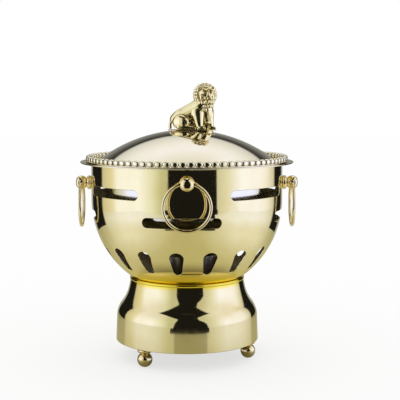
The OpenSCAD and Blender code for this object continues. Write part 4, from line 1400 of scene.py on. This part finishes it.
class STOVE_OT_stage(bpy.types.Operator):
    """Set the floor, the table that the metal mirrors, the light and the camera"""

    bl_idname = "stove.stage"
    bl_label = "Stage"

    def execute(self, context):
        studio_world()
        floor = stage_sheet("floor", FLOOR_EDGE, FLOOR_LEVEL, white_paper())
        floor.visible_glossy = False
        table = stage_sheet("mirrored_table", TABLE_EDGE, TABLE_LEVEL, table_board())
        table.visible_camera = False
        table.visible_diffuse = False
        table.visible_shadow = False
        table.visible_transmission = False

        flat = math.cos(EYE_PITCH)
        ahead = np.array([math.sin(EYE_YAW) * flat, math.cos(EYE_YAW) * flat, -math.sin(EYE_PITCH)])
        right = np.array([math.cos(EYE_YAW), -math.sin(EYE_YAW), 0.0])
        lens = bpy.data.cameras.new("camera")
        lens.sensor_width = SENSOR
        lens.lens = FOCAL_PIXELS * SENSOR / IMAGE_WIDTH
        camera = bpy.data.objects.new("camera", lens)
        rows = np.column_stack([right, np.cross(right, ahead), -ahead, EYE])
        camera.matrix_world = Matrix([*rows.tolist(), [0.0, 0.0, 0.0, 1.0]])
        context.scene.collection.objects.link(camera)
        context.scene.camera = camera
        context.scene.view_settings.view_transform = "Standard"
        return {"FINISHED"}


STEPS = (
    STOVE_OT_stage, STOVE_OT_base, STOVE_OT_feet, STOVE_OT_bowl, STOVE_OT_pulls, STOVE_OT_pot, STOVE_OT_lid,
    STOVE_OT_beads, STOVE_OT_finial, STOVE_OT_hidden_steel,
)


class STOVE_PT_panel(bpy.types.Panel):
    """Lists the stove pot's steps, sizes and finishes in the sidebar"""

    bl_idname = "STOVE_PT_panel"
    bl_label = "Stove pot"
    bl_space_type = "VIEW_3D"
    bl_region_type = "UI"
    bl_category = "Stove pot"

    def draw(self, context):
        for step in STEPS:
            self.layout.operator(step.bl_idname)
        for group in (context.scene.stove_sizes, context.scene.stove_finishes):
            column = self.layout.column(align=True)
            for name in group.__annotations__:
                column.prop(group, name)


CLASSES = (StoveSizes, StoveFinishes, *STEPS, STOVE_PT_panel)


def register():
    for kind in CLASSES:
        bpy.utils.register_class(kind)
    bpy.types.Scene.stove_sizes = PointerProperty(type=StoveSizes)
    bpy.types.Scene.stove_finishes = PointerProperty(type=StoveFinishes)


def unregister():
    del bpy.types.Scene.stove_finishes
    del bpy.types.Scene.stove_sizes
    for kind in reversed(CLASSES):
        bpy.utils.unregister_class(kind)


def main():
    register()
    bpy.ops.stove.stage()
    bpy.ops.stove.base()
    bpy.ops.stove.feet()
    bpy.ops.stove.bowl()
    bpy.ops.stove.pulls()
    bpy.ops.stove.pot()
    bpy.ops.stove.lid()
    bpy.ops.stove.beads()
    bpy.ops.stove.finial()
    bpy.ops.stove.hidden_steel()


if __name__ == "__main__":
    main()
